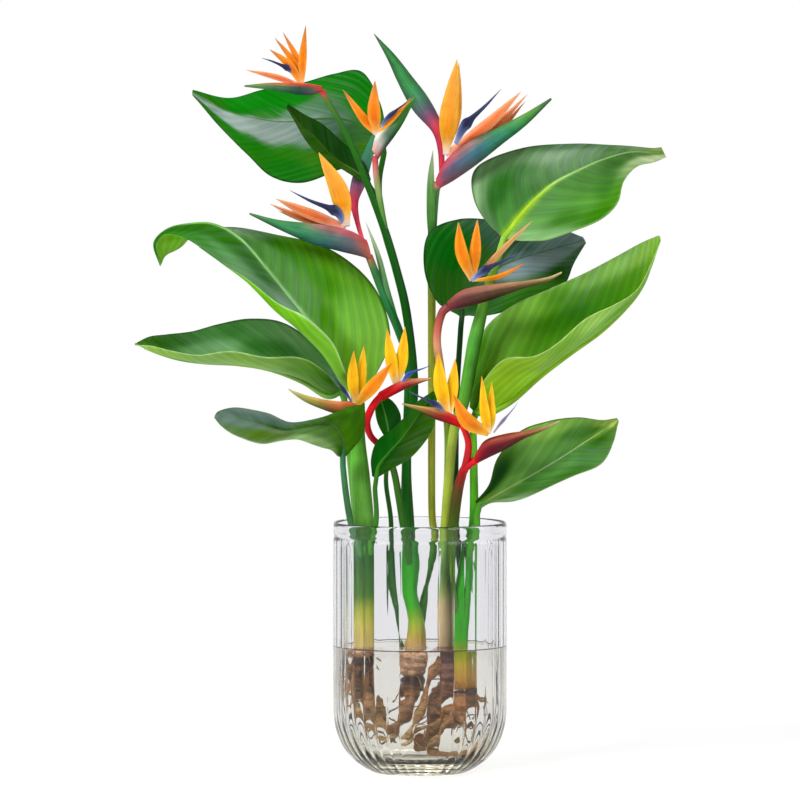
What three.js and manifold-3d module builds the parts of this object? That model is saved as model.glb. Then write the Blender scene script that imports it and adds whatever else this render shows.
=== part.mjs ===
// Bird of paradise plant (Strelitzia reginae) standing with its roots in water in a ribbed glass vase.
// Millimetres, +Z up. The origin is the middle of the vase's underside.
// The plant is seen from the front along +Y, with +X to the right, so a larger y is further back.

import * as THREE from 'three';
import { mergeVertices } from 'three/addons/utils/BufferGeometryUtils.js';
import Module from 'manifold-3d';

const wasm = await Module();
wasm.setup();

// Driving dimensions of the vase and the water
const VASE_HEIGHT = 254;
const VASE_RADIUS = 87;
const FOOT_RADIUS = 46;
const WALL = 3.6;
const FLOOR_THICKNESS = 9;
const RIB_COUNT = 40;
const WATER_SEGMENTS = 24;
const RIB_DEPTH = 1.5;
const NECK_HEIGHT = 240;
const NECK_RADIUS = 83.6;
const WATER_LEVEL = 126;

// Driving dimensions of the plant
const FAN_OUT = 1.5;
const FAN_LOW = 256;
const FAN_HIGH = 360;
const CLEARANCE = 0.32;
const LEAF_THICKNESS = 1.0;
const LEAF_EDGE = 0.7;
const LEAF_RIB = 1.9;
const SEPAL_THICKNESS = 1.1;
const PETAL_THICKNESS = 1.3;
const SHEATH_FOOT = 124;
const CROWN_TOP = SHEATH_FOOT - CLEARANCE;
const RIGHT_SHEATH_FOOT = 84;
const RIGHT_CROWN_TOP = RIGHT_SHEATH_FOOT - CLEARANCE;

// How finely the forms are stepped
const ROWS_PER_STATION = 1.5;
const STEM_STEP = 52;

// Colours of the tissues
const LEAF_GREEN = '#2f7d1c';
const DEEP_GREEN = '#1d5a12';
const FRESH_GREEN = '#4a9a1c';
const BLUE_GREEN = '#3f6f55';
const STALK_GREEN = '#3c7a2a';
const SPATHE_TEAL = '#4a7a62';
const SPATHE_BROWN = '#8a4a3c';
const SPATHE_RED = '#b5302a';
const SEPAL_ORANGE = '#f5861a';
const SEPAL_YELLOW = '#fbb81c';
const PETAL_BLUE = '#27357c';
const ROOT_BROWN = '#8a6038';

const mix = THREE.MathUtils.lerp;

// Points are written as they stand at the rim of the vase; above it the plant fans out to front and back
function vector([x, y, z]) {
  return new THREE.Vector3(x, y * mix(1, FAN_OUT, THREE.MathUtils.smoothstep(z, FAN_LOW, FAN_HIGH)), z);
}
const curveThrough = (points) => new THREE.CatmullRomCurve3(points.map(vector), false, 'catmullrom', 0.5);

// A value that runs through a short list of evenly spaced numbers
function profileAt(values, t) {
  const place = THREE.MathUtils.clamp(t, 0, 1) * (values.length - 1);
  const index = Math.min(Math.floor(place), values.length - 2);
  return mix(values[index], values[index + 1], place - index);
}

// Closed mesh and solid conversions
function solidOf(geometry) {
  const bare = geometry.clone();
  bare.deleteAttribute('normal');
  bare.deleteAttribute('uv');
  const merged = mergeVertices(bare, 1e-4);
  return new wasm.Manifold(new wasm.Mesh({
    numProp: 3,
    vertProperties: new Float32Array(merged.attributes.position.array),
    triVerts: new Uint32Array(merged.index.array),
  }));
}

function geometryOf(solid) {
  const mesh = solid.getMesh();
  const geometry = new THREE.BufferGeometry();
  geometry.setAttribute('position', new THREE.BufferAttribute(new Float32Array(mesh.vertProperties), 3));
  geometry.setIndex(new THREE.BufferAttribute(new Uint32Array(mesh.triVerts), 1));
  geometry.computeVertexNormals();
  return geometry;
}

const unite = (solids) => solids.reduce((sum, solid) => sum.add(solid));

// What is left of a solid after its neighbours' room is cut away, without loose scraps
function cutBack(solid, neighbours) {
  const rest = neighbours.reduce((left, neighbour) => left.subtract(neighbour), solid);
  const pieces = rest.decompose();
  return pieces.reduce((best, piece) => (piece.volume() > best.volume() ? piece : best));
}

// Closed skin over rows of paired points: each row has its upper points and its lower points
function loft(rows) {
  const across = rows[0].upper.length;
  const ring = 2 * across;
  const positions = [];
  for (const row of rows) {
    for (const point of row.upper) positions.push(point.x, point.y, point.z);
    for (let j = across - 1; j >= 0; j -= 1) {
      const point = row.lower[j];
      positions.push(point.x, point.y, point.z);
    }
  }
  const faces = [];
  const triangle = (a, b, c) => faces.push(a, b, c);
  for (let i = 0; i < rows.length - 1; i += 1) {
    for (let k = 0; k < ring; k += 1) {
      const next = (k + 1) % ring;
      const a = i * ring + k;
      const b = i * ring + next;
      const c = (i + 1) * ring + next;
      const d = (i + 1) * ring + k;
      if (k < across) {
        triangle(a, c, b);
        triangle(a, d, c);
      } else {
        triangle(a, d, b);
        triangle(b, d, c);
      }
    }
  }
  for (const [start, turned] of [[0, false], [(rows.length - 1) * ring, true]]) {
    for (let j = 0; j < across - 1; j += 1) {
      const a = start + j;
      const b = start + j + 1;
      const c = start + ring - 2 - j;
      const d = start + ring - 1 - j;
      if (turned) {
        triangle(a, c, b);
        triangle(a, d, c);
      } else {
        triangle(a, b, c);
        triangle(a, c, d);
      }
    }
  }
  const geometry = new THREE.BufferGeometry();
  geometry.setAttribute('position', new THREE.Float32BufferAttribute(positions, 3));
  geometry.setIndex(faces);
  return solidOf(geometry);
}

// Rows of a round stem along a curve, worked back from its top end so that the side there is given
function stemRows(points, radii, across, topSide, grow = 0) {
  const curve = curveThrough(points);
  const steps = Math.max(points.length - 1, Math.round(curve.getLength() / STEM_STEP));
  const rows = [];
  let side = topSide.clone();
  for (let i = steps; i >= 0; i -= 1) {
    const t = i / steps;
    const centre = curve.getPoint(t);
    const along = curve.getTangent(t);
    if (i === 0) centre.addScaledVector(along, -2 * grow);
    if (i === steps) centre.addScaledVector(along, 2 * grow);
    side.addScaledVector(along, -along.dot(side)).normalize();
    const normal = new THREE.Vector3().crossVectors(along, side);
    const radius = profileAt(radii, t) + grow;
    const upper = [];
    const lower = [];
    for (let j = 0; j < across; j += 1) {
      const angle = (Math.PI * (j + 0.5)) / across;
      const flat = centre.clone().addScaledVector(side, -radius * Math.cos(angle));
      upper.push(flat.clone().addScaledVector(normal, radius * Math.sin(angle)));
      lower.push(flat.clone().addScaledVector(normal, -radius * Math.sin(angle)));
    }
    rows.unshift({ upper, lower });
  }
  return rows;
}

const stem = (points, radii, across = 4, grow = 0) => loft(
  stemRows(points, radii, across, new THREE.Vector3(1, 0, 0), grow),
);

// Rows of a leaf blade between its two edges and its midrib, given from the base to the tip
function bladeRows(leaf) {
  const edgeA = curveThrough(leaf.edgeA);
  const midrib = curveThrough(leaf.midrib);
  const edgeB = curveThrough(leaf.edgeB);
  const steps = Math.round((leaf.midrib.length - 1) * ROWS_PER_STATION);
  const baseRadius = leaf.radii[leaf.radii.length - 1];
  const rows = [];
  for (let i = 0; i <= steps; i += 1) {
    const t = i / steps;
    const a = edgeA.getPoint(t);
    const m = midrib.getPoint(t);
    const b = edgeB.getPoint(t);
    const along = midrib.getTangent(t);
    const upAt = (from, to) => new THREE.Vector3()
      .crossVectors(along, new THREE.Vector3().subVectors(to, from)).normalize();
    const upA = upAt(a, m);
    const upB = upAt(m, b);
    const quarterA = a.clone().lerp(m, 0.5).addScaledVector(upA, leaf.arch * a.distanceTo(m));
    const quarterB = b.clone().lerp(m, 0.5).addScaledVector(upB, leaf.arch * b.distanceTo(m));
    const fromBase = Math.min(1, t * 5);
    const ribThickness = mix(2 * baseRadius, LEAF_RIB, fromBase) * mix(1, 0.6, t);
    const bladeThickness = mix(1.3 * baseRadius, LEAF_THICKNESS, fromBase);
    const places = [a, quarterA, m, quarterB, b];
    const normals = [upA, upA, upA.clone().add(upB).normalize(), upB, upB];
    const thicknesses = [LEAF_EDGE, bladeThickness, ribThickness, bladeThickness, LEAF_EDGE];
    rows.push({
      upper: places.map((p, k) => p.clone().addScaledVector(normals[k], thicknesses[k] / 2)),
      lower: places.map((p, k) => p.clone().addScaledVector(normals[k], -thicknesses[k] / 2)),
    });
  }
  return rows;
}

// A leaf with its stalk, the petiole, as one solid
function leafSolid(leaf) {
  const blade = bladeRows(leaf);
  const side = vector(leaf.edgeB[0]).sub(vector(leaf.edgeA[0])).normalize();
  const petiole = stemRows(leaf.petiole, leaf.radii, 5, side);
  return loft([...petiole, ...blade]);
}

// The room that a petiole needs, for what stands close to it
const petioleRoom = (leaf) => {
  const side = vector(leaf.edgeB[0]).sub(vector(leaf.edgeA[0])).normalize();
  return loft(stemRows(leaf.petiole, leaf.radii, 5, side, CLEARANCE));
};

// The eleven leaves. Each has its petiole from below upward, then its edges and midrib from base to tip.
const leaves = {
  leaf_top_left: {
    colour: LEAF_GREEN, arch: -0.05, radii: [3.2, 3.4, 3.2, 3.0, 2.8],
    petiole: [[-4, 10, 204], [-1, 29, 250], [-6, 40, 310], [-10, 46, 400], [-18, 48, 490], [-28, 48, 570],
      [-35, 46, 622]],
    edgeA: [[-33, 46, 637], [-40, 56, 673], [-58, 62, 704], [-86, 64, 702], [-120, 62, 693], [-158, 56, 686],
      [-192, 48, 677], [-228, 38, 685]],
    midrib: [[-36, 45, 631], [-52, 46, 645], [-75, 47, 655], [-102, 48, 656], [-136, 48, 653],
      [-168, 45, 657], [-198, 42, 665], [-228.6, 37.5, 682]],
    edgeB: [[-39.5, 44, 625], [-58, 40, 613], [-82, 38, 604], [-118, 38, 592], [-150, 38, 598],
      [-174, 38, 620], [-203, 37, 651], [-228, 37, 679]],
  },
  leaf_narrow: {
    colour: DEEP_GREEN, arch: -0.06, radii: [2.2, 2.2],
    petiole: [[-40, 5, 566], [-47, 10, 583]],
    edgeA: [[-49, 14, 594], [-56, 16, 611], [-78, 18, 632], [-98, 18, 650], [-115, 18, 659], [-132, 18, 670]],
    midrib: [[-51, 13, 590], [-64, 13, 602], [-85, 14, 615], [-104, 15, 635], [-118, 16, 649],
      [-133, 17, 668]],
    edgeB: [[-53, 11, 587], [-68, 10, 597], [-90, 11, 612], [-109, 12, 627], [-122, 14, 645], [-133.5, 16, 666]],
  },
  leaf_left_large: {
    colour: FRESH_GREEN, arch: -0.05, radii: [11, 11, 11.3, 10.8, 9.5, 7.2, 5],
    petiole: [[-56, 4, SHEATH_FOOT], [-56, 4, 170], [-56, 5, 215], [-57, 6, 255], [-60, 5, 300], [-62, 4, 335],
      [-60, 3, 368]],
    edgeA: [[-52, 6, 384], [-32, 10, 423], [-31, 14, 448], [-42, 16, 480], [-63, 16, 506], [-95, 14, 526],
      [-138, 10, 538], [-182, 4, 547], [-220, -2, 551], [-245, -6, 550], [-264, -9, 537], [-261, -10, 509]],
    midrib: [[-61, 2, 379], [-75, -4, 395], [-89, -8, 423], [-108, -10, 448], [-128, -12, 473],
      [-152, -14, 503], [-178, -14, 533], [-206, -12, 547], [-234, -11, 546], [-252, -11, 543],
      [-266, -11, 532], [-260, -10.5, 508]],
    edgeB: [[-69, -3, 378], [-82, -24, 395], [-99, -46, 421], [-122, -60, 444], [-145, -62, 462],
      [-175, -58, 493], [-205, -46, 515], [-228, -30, 531], [-242, -21, 537], [-255, -16, 538],
      [-263, -13, 527], [-259, -11, 507]],
  },
  leaf_left_folded: {
    colour: LEAF_GREEN, arch: -0.1, radii: [3.8, 3.8, 3.6, 3.4],
    petiole: [[-57, 6, 205], [-64, 24, 255], [-69, 30, 305], [-73, 30, 345], [-76, 27, 375]],
    edgeA: [[-72, 32, 390], [-100, 42, 424], [-135, 50, 450], [-170, 52, 455], [-202, 50, 450],
      [-230, 46, 442], [-255, 40, 439], [-271, 36, 437], [-286, 31, 430]],
    midrib: [[-78, 26, 383], [-93, 26, 378], [-117, 28, 389], [-150, 30, 399], [-183, 31, 407],
      [-215, 32, 408], [-242, 32, 412], [-267, 32, 420], [-286.4, 30.5, 429]],
    edgeB: [[-85, 20, 388], [-96, 8, 402], [-120, -2, 415], [-155, -10, 417], [-188, -6, 421],
      [-220, 6, 418], [-248, 18, 423], [-269, 26, 427], [-286, 30, 428]],
  },
  leaf_left_low: {
    colour: BLUE_GREEN, arch: 0.06, radii: [3.3, 3.3, 3.2, 3.0],
    petiole: [[-58, 2, 205], [-69, -11, 250], [-74, -14, 280], [-77, -13, 307]],
    edgeA: [[-71, -11, 320], [-58, -22, 339], [-55, -38, 365], [-70, -42, 367], [-98, -52, 355],
      [-128, -60, 350], [-152, -60, 361], [-180, -66, 366], [-198, -74, 362], [-203, -82, 357]],
    midrib: [[-77, -13, 316], [-77, -24, 333], [-86, -42, 348], [-98, -54, 349], [-114, -63, 346],
      [-135, -70, 343], [-158, -76, 349], [-183, -80, 355], [-198, -82, 357], [-203.4, -83, 356]],
    edgeB: [[-83, -16, 318], [-87, -38, 326], [-96, -62, 336], [-110, -78, 340], [-122, -86, 338],
      [-136, -92, 335], [-158, -98, 331], [-182, -94, 338], [-196, -88, 347], [-203, -84, 355]],
  },
  leaf_centre_small: {
    colour: DEEP_GREEN, arch: 0.06, radii: [2.6, 2.6, 2.4],
    petiole: [[-54, 0, 212], [-44, -16, 250], [-45, -20, 286]],
    edgeA: [[-48, -21, 298], [-49, -27, 315], [-43, -35, 333], [-29, -38, 344], [-16, -40, 355],
      [-4, -40, 370], [13, -38, 382]],
    midrib: [[-44, -21, 295], [-40, -28, 309], [-29, -34, 323], [-17, -38, 336], [-5, -40, 353],
      [5, -40, 368], [15, -38, 380.5]],
    edgeB: [[-40, -20, 298], [-27, -22, 306], [-9, -26, 316], [5, -30, 331], [13, -33, 345],
      [16, -36, 360], [17, -38, 379]],
  },
  leaf_behind: {
    colour: DEEP_GREEN, arch: -0.05, radii: [3.0, 3.0, 2.9, 2.8],
    petiole: [[44, 3, 195], [36, 22, 250], [36, 28, 310], [37, 27, 377], [41, 24, 446]],
    edgeA: [[39, 23, 458], [17, 24, 472], [4, 26, 505], [9, 30, 541], [40, 32, 555], [80, 36, 554],
      [125, 38, 551], [164, 42, 537]],
    midrib: [[42, 24, 456], [45, 28, 473], [55, 36, 488], [70, 40, 501], [90, 42, 511], [115, 43, 520],
      [140, 43, 527], [166, 42.5, 534]],
    edgeB: [[46, 23, 458], [62, 24, 457], [85, 26, 462], [110, 28, 474], [130, 30, 483], [146, 33, 490],
      [155, 36, 511], [167, 42, 531]],
  },
  leaf_top_right: {
    colour: LEAF_GREEN, arch: 0.05, radii: [7.5, 7.0, 5.0, 4.2, 3.8, 3.5, 3.3],
    petiole: [[24, 2, SHEATH_FOOT], [24, 2, 178], [25, 0, 215], [26, -2, 253], [33, -3, 336], [44, -5, 373],
      [55, -6, 433], [68, -5, 484], [80, -3, 522]],
    edgeA: [[80, 1, 538], [67, 10, 551], [54, 26, 575], [53, 38, 600], [70, 40, 615], [110, 36, 628],
      [155, 30, 631], [195, 18, 628], [228, 10, 625], [241, 5, 626]],
    midrib: [[83, -2, 533], [89, 0, 543], [101, 3, 559], [117, 6, 576], [135, 8, 591], [158, 10, 603],
      [183, 10, 614], [208, 8, 621], [228, 5, 621], [244, 4, 620]],
    edgeB: [[88, -4, 534], [105, -8, 532], [127, -13, 532], [155, -18, 542], [180, -20, 554],
      [197, -18, 570], [204, -10, 591], [217, -2, 607], [235, 1, 612], [246, 3, 616]],
  },
  leaf_right_large: {
    colour: FRESH_GREEN, arch: 0.06, radii: [9.5, 9.2, 9.0, 7.0, 4.8, 4.2, 3.8],
    petiole: [[42, -2, RIGHT_SHEATH_FOOT], [42, -2, 125], [46, 0, 180], [49, 3, 218], [54, 7, 252],
      [54, 8, 305], [53, 7, 352]],
    edgeA: [[49.5, 8, 366], [52, 12, 387], [57, 16, 421], [67, 18, 447], [95, 18, 469], [130, 17, 485],
      [165, 14, 500], [195, 10, 516], [220, 6, 530], [239, 3, 538]],
    midrib: [[54, 6, 361], [70, 0, 363], [92, -4, 375], [119, -6, 398], [150, -8, 421], [180, -8, 442],
      [205, -7, 465], [221, -5, 485], [231, -2, 507], [240, 2, 535]],
    edgeB: [[59, 4, 367], [64, -16, 392], [83, -34, 413], [110, -46, 420], [136, -50, 435], [165, -46, 453],
      [192, -38, 468], [214, -26, 482], [227, -12, 500], [240.5, 1, 532]],
  },
  leaf_right_low: {
    colour: LEAF_GREEN, arch: 0.05, radii: [3.2, 3.2, 3.1],
    petiole: [[47, -4, 205], [56, -17, 240], [57, -18, 260]],
    edgeA: [[55, -16, 272], [69, -12, 289], [78, -4, 315], [100, 0, 342], [128, -2, 352], [158, -12, 355],
      [180, -27, 353], [195, -41, 355]],
    midrib: [[58, -18, 269], [71, -21, 276], [92, -26, 288], [115, -30, 301], [140, -34, 316],
      [163, -37, 331], [182, -39, 343], [197, -42, 353]],
    edgeB: [[61, -21, 266], [73, -31, 272], [95, -49, 276], [122, -60, 286], [155, -62, 300],
      [180, -54, 312], [192, -47, 333], [197, -43, 351]],
  },
  leaf_back_small: {
    colour: DEEP_GREEN, arch: 0.05, radii: [2.4, 2.4, 2.2],
    petiole: [[-12, 8, 205], [-28, 16, 250], [-34, 17, 290], [-31, 19, 320]],
    edgeA: [[-33, 20, 331], [-42, 22, 348], [-45, 24, 363], [-43, 25, 373], [-42, 25, 380]],
    midrib: [[-30, 20, 329], [-32, 20, 345], [-35, 22, 359], [-38, 24, 369], [-40.5, 25, 380]],
    edgeB: [[-27, 19, 331], [-21, 18, 343], [-20, 19, 358], [-27, 22, 371], [-39, 25, 379.5]],
  },
};

// A spathe: the boat-shaped bract, round and closed at its keel, with a furrow between its two lips
const SPATHE_ROWS = 6;
const SPATHE_SWELL = [0.45, 0.85, 1.0, 0.8, 0.5, 0.1];
const SPATHE_SECTION = {
  upper: [[-1.0, 0.15], [-0.5, 1.0], [0, 0.62], [0.5, 1.0], [1.0, 0.15]],
  lower: [[-0.92, -0.25], [-0.55, -0.72], [0, -1.0], [0.55, -0.72], [0.92, -0.25]],
};

function spatheSolid(spathe, grow = 0) {
  const lips = curveThrough(spathe.lips);
  const keel = curveThrough(spathe.keel);
  const rows = [];
  for (let i = 0; i <= SPATHE_ROWS; i += 1) {
    const t = i / SPATHE_ROWS;
    const top = lips.getPoint(t);
    const bottom = keel.getPoint(t);
    const along = lips.getTangent(t).add(keel.getTangent(t)).normalize();
    const up = new THREE.Vector3().subVectors(top, bottom).normalize();
    const side = new THREE.Vector3().crossVectors(up, along).normalize();
    const centre = top.clone().lerp(bottom, 0.5);
    const halfHeight = top.distanceTo(bottom) / 2 + grow;
    const halfWidth = spathe.swell * profileAt(SPATHE_SWELL, t) + 0.4 + grow;
    const place = ([across, height]) => centre.clone()
      .addScaledVector(side, across * halfWidth)
      .addScaledVector(up, height * halfHeight);
    rows.push({ upper: SPATHE_SECTION.upper.map(place), lower: SPATHE_SECTION.lower.map(place) });
  }
  return loft(rows);
}

// A tongue: a sepal, a petal or an upright bract, a keeled blade along a short curve from its base
function tongueSolid(tongue, halfWidths, thickness, grow = 0) {
  const curve = curveThrough(tongue.path);
  const facing = new THREE.Vector3(0, -1, 0.1);
  const steps = tongue.rows ?? 4;
  const rows = [];
  for (let i = 0; i <= steps; i += 1) {
    const t = i / steps;
    const centre = curve.getPoint(t);
    const along = curve.getTangent(t);
    const side = new THREE.Vector3().crossVectors(facing, along).normalize();
    const normal = new THREE.Vector3().crossVectors(along, side).normalize();
    const halfWidth = profileAt(halfWidths, t) * (tongue.width / 2) + grow;
    const keelled = centre.clone().addScaledVector(normal, tongue.width * 0.16 * Math.sin(Math.PI * t));
    const places = [
      centre.clone().addScaledVector(side, -halfWidth),
      keelled,
      centre.clone().addScaledVector(side, halfWidth),
    ];
    const half = thickness / 2 + grow;
    rows.push({
      upper: places.map((p) => p.clone().addScaledVector(normal, half)),
      lower: places.map((p) => p.clone().addScaledVector(normal, -half)),
    });
  }
  return loft(rows);
}

const SEPAL_OUTLINE = [0.34, 0.62, 0.88, 1.0, 0.84, 0.46, 0.1];
const PETAL_OUTLINE = [0.5, 0.75, 1.0, 0.7, 0.62, 0.4, 0.14];
const BRACT_OUTLINE = [0.45, 0.5, 0.8, 1.0, 0.9, 0.6, 0.1];

const sepalSolid = (sepal, grow) => tongueSolid(sepal, SEPAL_OUTLINE, SEPAL_THICKNESS, grow);
const petalSolid = (petal, grow) => tongueSolid(petal, PETAL_OUTLINE, PETAL_THICKNESS, grow);
const bractSolid = (bract, grow) => tongueSolid(bract, BRACT_OUTLINE, SEPAL_THICKNESS, grow);

// The nine flower heads. Sepals and petals stand in the spathe's furrow, and two heads have a second bract.
const heads = [
  {
    number: 1, sepalColour: SEPAL_ORANGE, spatheColour: SPATHE_TEAL,
    spathe: {
      swell: 5.5,
      lips: [[-99, -3, 689], [-115, -3, 689.5], [-132, -3, 690], [-150, -3, 690], [-175, -3, 687.6]],
      keel: [[-97, -3, 679], [-112, -3, 677], [-128, -3, 679], [-144, -3, 682], [-175.5, -3, 686]],
    },
    sepalBase: [-118, -3, 687],
    sepals: [
      { path: [[-114, -9, 747]], width: 10 },
      { path: [[-137, 6, 741]], width: 9 },
      { path: [[-145, -2, 735]], width: 8 },
      { path: [[-150, -12, 723]], width: 8 },
      { path: [[-144, 3, 698], [-174, 2, 703]], width: 6 },
    ],
    petal: { path: [[-124, -3, 687], [-131, -10, 700], [-144, -16, 706], [-158, -18, 714]], width: 6 },
  },
  {
    number: 2, sepalColour: SEPAL_ORANGE, spatheColour: SPATHE_TEAL,
    spathe: {
      swell: 5,
      lips: [[-48, -4, 623], [-44, -4, 638], [-34, -4, 651], [-22, -4, 662], [-6, -5, 676]],
      keel: [[-42, -4, 613], [-34, -4, 625], [-25, -4, 637], [-16, -4, 651], [-5, -5, 673]],
    },
    sepalBase: [-41, -4, 633],
    sepals: [
      { path: [[-60, -6, 658], [-77, -6, 683]], width: 9 },
      { path: [[-45, -9, 664], [-45, -8, 693]], width: 13 },
    ],
    petal: { path: [[-37, -4, 637], [-32, -11, 652], [-22, -12, 662], [-9, -12, 673]], width: 6 },
  },
  {
    number: 3, sepalColour: SEPAL_ORANGE, spatheColour: SPATHE_TEAL,
    spathe: {
      swell: 8.5,
      lips: [[16, 29, 597], [27, 26, 615], [48, 24, 632], [75, 22, 645], [104, 20, 660], [131, 18, 676]],
      keel: [[20, 29, 583], [35, 26, 593], [58, 24, 610], [83, 22, 630], [107, 20, 649], [132, 18, 674]],
    },
    bract: {
      path: [[22, 27, 602], [21, 28, 626], [17, 30, 646], [1, 33, 670], [-15, 36, 695], [-29, 38, 718],
        [-46, 40, 741]],
      width: 17, rows: 7,
    },
    sepalBase: [35, 25, 616],
    sepals: [
      { path: [[31, 18, 660], [37, 14, 714]], width: 20 },
      { path: [[38, 26, 660], [39, 23, 711]], width: 13 },
      { path: [[66, 24, 648], [102, 17, 681]], width: 11 },
      { path: [[70, 29, 646], [107, 28, 679]], width: 9 },
    ],
    petal: { path: [[46, 20, 627], [46, 9, 650], [58, 4, 660], [81, 3, 683]], width: 8 },
  },
  {
    number: 4, sepalColour: SEPAL_ORANGE, spatheColour: SPATHE_TEAL,
    spathe: {
      swell: 8.5,
      lips: [[-54, 0, 533], [-70, -3, 542], [-90, -6, 547], [-115, -9, 550], [-142, -12, 553], [-170, -14, 560]],
      keel: [[-49, 0, 513], [-61, -3, 517], [-82, -6, 522], [-108, -9, 529], [-136, -12, 541],
        [-170, -14, 558]],
    },
    bract: {
      path: [[-57, 0, 531], [-63, 6, 553], [-66, 15, 573], [-61, 22, 593], [-54, 25, 613], [-47, 26, 634],
        [-42, 26, 649]],
      width: 13, rows: 7,
    },
    sepalBase: [-75, -4, 537],
    sepals: [
      { path: [[-80, -12, 580], [-101, -12, 620]], width: 17 },
      { path: [[-108, -6, 559], [-144, -14, 574]], width: 9 },
      { path: [[-112, 1, 556], [-150, -2, 569]], width: 9 },
    ],
    petal: { path: [[-86, -10, 541], [-89, -19, 562], [-104, -22, 569], [-131, -24, 582]], width: 7 },
  },
  {
    number: 5, sepalColour: SEPAL_ORANGE, spatheColour: SPATHE_BROWN,
    spathe: {
      swell: 8.5,
      lips: [[26, -20, 473], [42, -22, 484], [68, -24, 488], [98, -26, 491], [125, -28, 495], [141, -30, 501]],
      keel: [[30, -20, 459], [48, -22, 462], [72, -24, 469], [100, -26, 479], [126, -28, 489], [141, -30, 499]],
    },
    sepalBase: [53, -23, 481],
    sepals: [
      { path: [[43, -31, 517], [38, -33, 550]], width: 16 },
      { path: [[56, -27, 518], [57, -27, 553]], width: 15 },
      { path: [[70, -20, 511], [112, -22, 552]], width: 8 },
      { path: [[78, -21, 495], [104, -25, 509]], width: 8 },
    ],
    petal: { path: [[63, -27, 482], [66, -37, 503], [80, -40, 507], [104, -40, 521]], width: 8 },
  },
  {
    number: 6, sepalColour: SEPAL_YELLOW, spatheColour: SPATHE_RED,
    spathe: {
      swell: 5,
      lips: [[-64, -26, 373], [-79, -26, 371.5], [-98, -27, 374], [-117, -28, 379], [-131, -29, 384.5]],
      keel: [[-65, -26, 361], [-82, -26, 359], [-101, -27, 365], [-117, -28, 372.5], [-131, -29, 383]],
    },
    sepalBase: [-73, -26, 366],
    sepals: [
      { path: [[-69, -31, 394], [-66, -33, 421]], width: 10 },
      { path: [[-60, -27, 395], [-56, -26, 425]], width: 10 },
      { path: [[-45, -37, 388], [-26, -38, 410]], width: 15 },
    ],
    petal: { path: [[-80, -26, 365], [-80, -35, 384], [-84, -38, 391], [-94, -39, 404]], width: 5 },
  },
  {
    number: 7, sepalColour: SEPAL_YELLOW, spatheColour: SPATHE_RED,
    spathe: {
      swell: 4.5,
      lips: [[-41, -26, 381], [-28, -28, 388], [-16, -30, 393], [-4, -31, 394.5], [11, -32, 395]],
      keel: [[-37, -26, 372], [-24, -28, 379], [-12, -30, 385], [1, -31, 390], [11, -32, 393.5]],
    },
    sepalBase: [-21, -29, 385],
    sepals: [
      { path: [[-28, -31, 412], [-31, -32, 444]], width: 12 },
      { path: [[-15, -28, 414], [-13, -28, 446]], width: 13 },
    ],
    petal: { path: [[-17, -30, 388], [-12, -35, 399], [0, -37, 404], [12, -38, 408]], width: 6 },
  },
  {
    number: 8, sepalColour: SEPAL_YELLOW, spatheColour: SPATHE_RED,
    spathe: {
      swell: 5,
      lips: [[41, -52, 354], [28, -53, 361], [15, -54, 365], [0, -55, 367], [-18, -56, 370]],
      keel: [[44, -52, 344], [28, -53, 347], [13, -54, 352], [0, -55, 359.5], [-18, -56, 368.5]],
    },
    sepalBase: [28, -53, 356],
    sepals: [
      { path: [[19, -57, 387], [18, -58, 419]], width: 14 },
      { path: [[34, -52, 384], [35, -51, 413]], width: 12 },
    ],
    petal: { path: [[23, -53, 358], [12, -61, 370], [1, -62, 376], [-12, -63, 382]], width: 6 },
  },
  {
    number: 9, sepalColour: SEPAL_YELLOW, spatheColour: SPATHE_RED,
    spathe: {
      swell: 6.5,
      lips: [[55, -50, 323], [64, -52, 331], [82, -53, 338], [102, -54, 342], [120, -55, 346],
        [138, -56, 352.5]],
      keel: [[56, -50, 307], [68, -52, 312], [84, -53, 319], [102, -54, 331], [118, -55, 340],
        [138, -56, 350.5]],
    },
    sepalBase: [69, -53, 326],
    sepals: [
      { path: [[64, -58, 361], [61, -59, 397]], width: 10 },
      { path: [[70, -54, 359], [71, -55, 391]], width: 10 },
      { path: [[48, -65, 351], [33, -68, 378]], width: 16 },
    ],
    petal: { path: [[73, -53, 328], [77, -60, 348], [86, -62, 360], [99, -62, 373]], width: 6 },
  },
];

const sepalsSolid = (head, grow = 0) => unite(head.sepals.map(
  (sepal) => sepalSolid({ path: [head.sepalBase, ...sepal.path], width: sepal.width }, grow),
));

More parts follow.
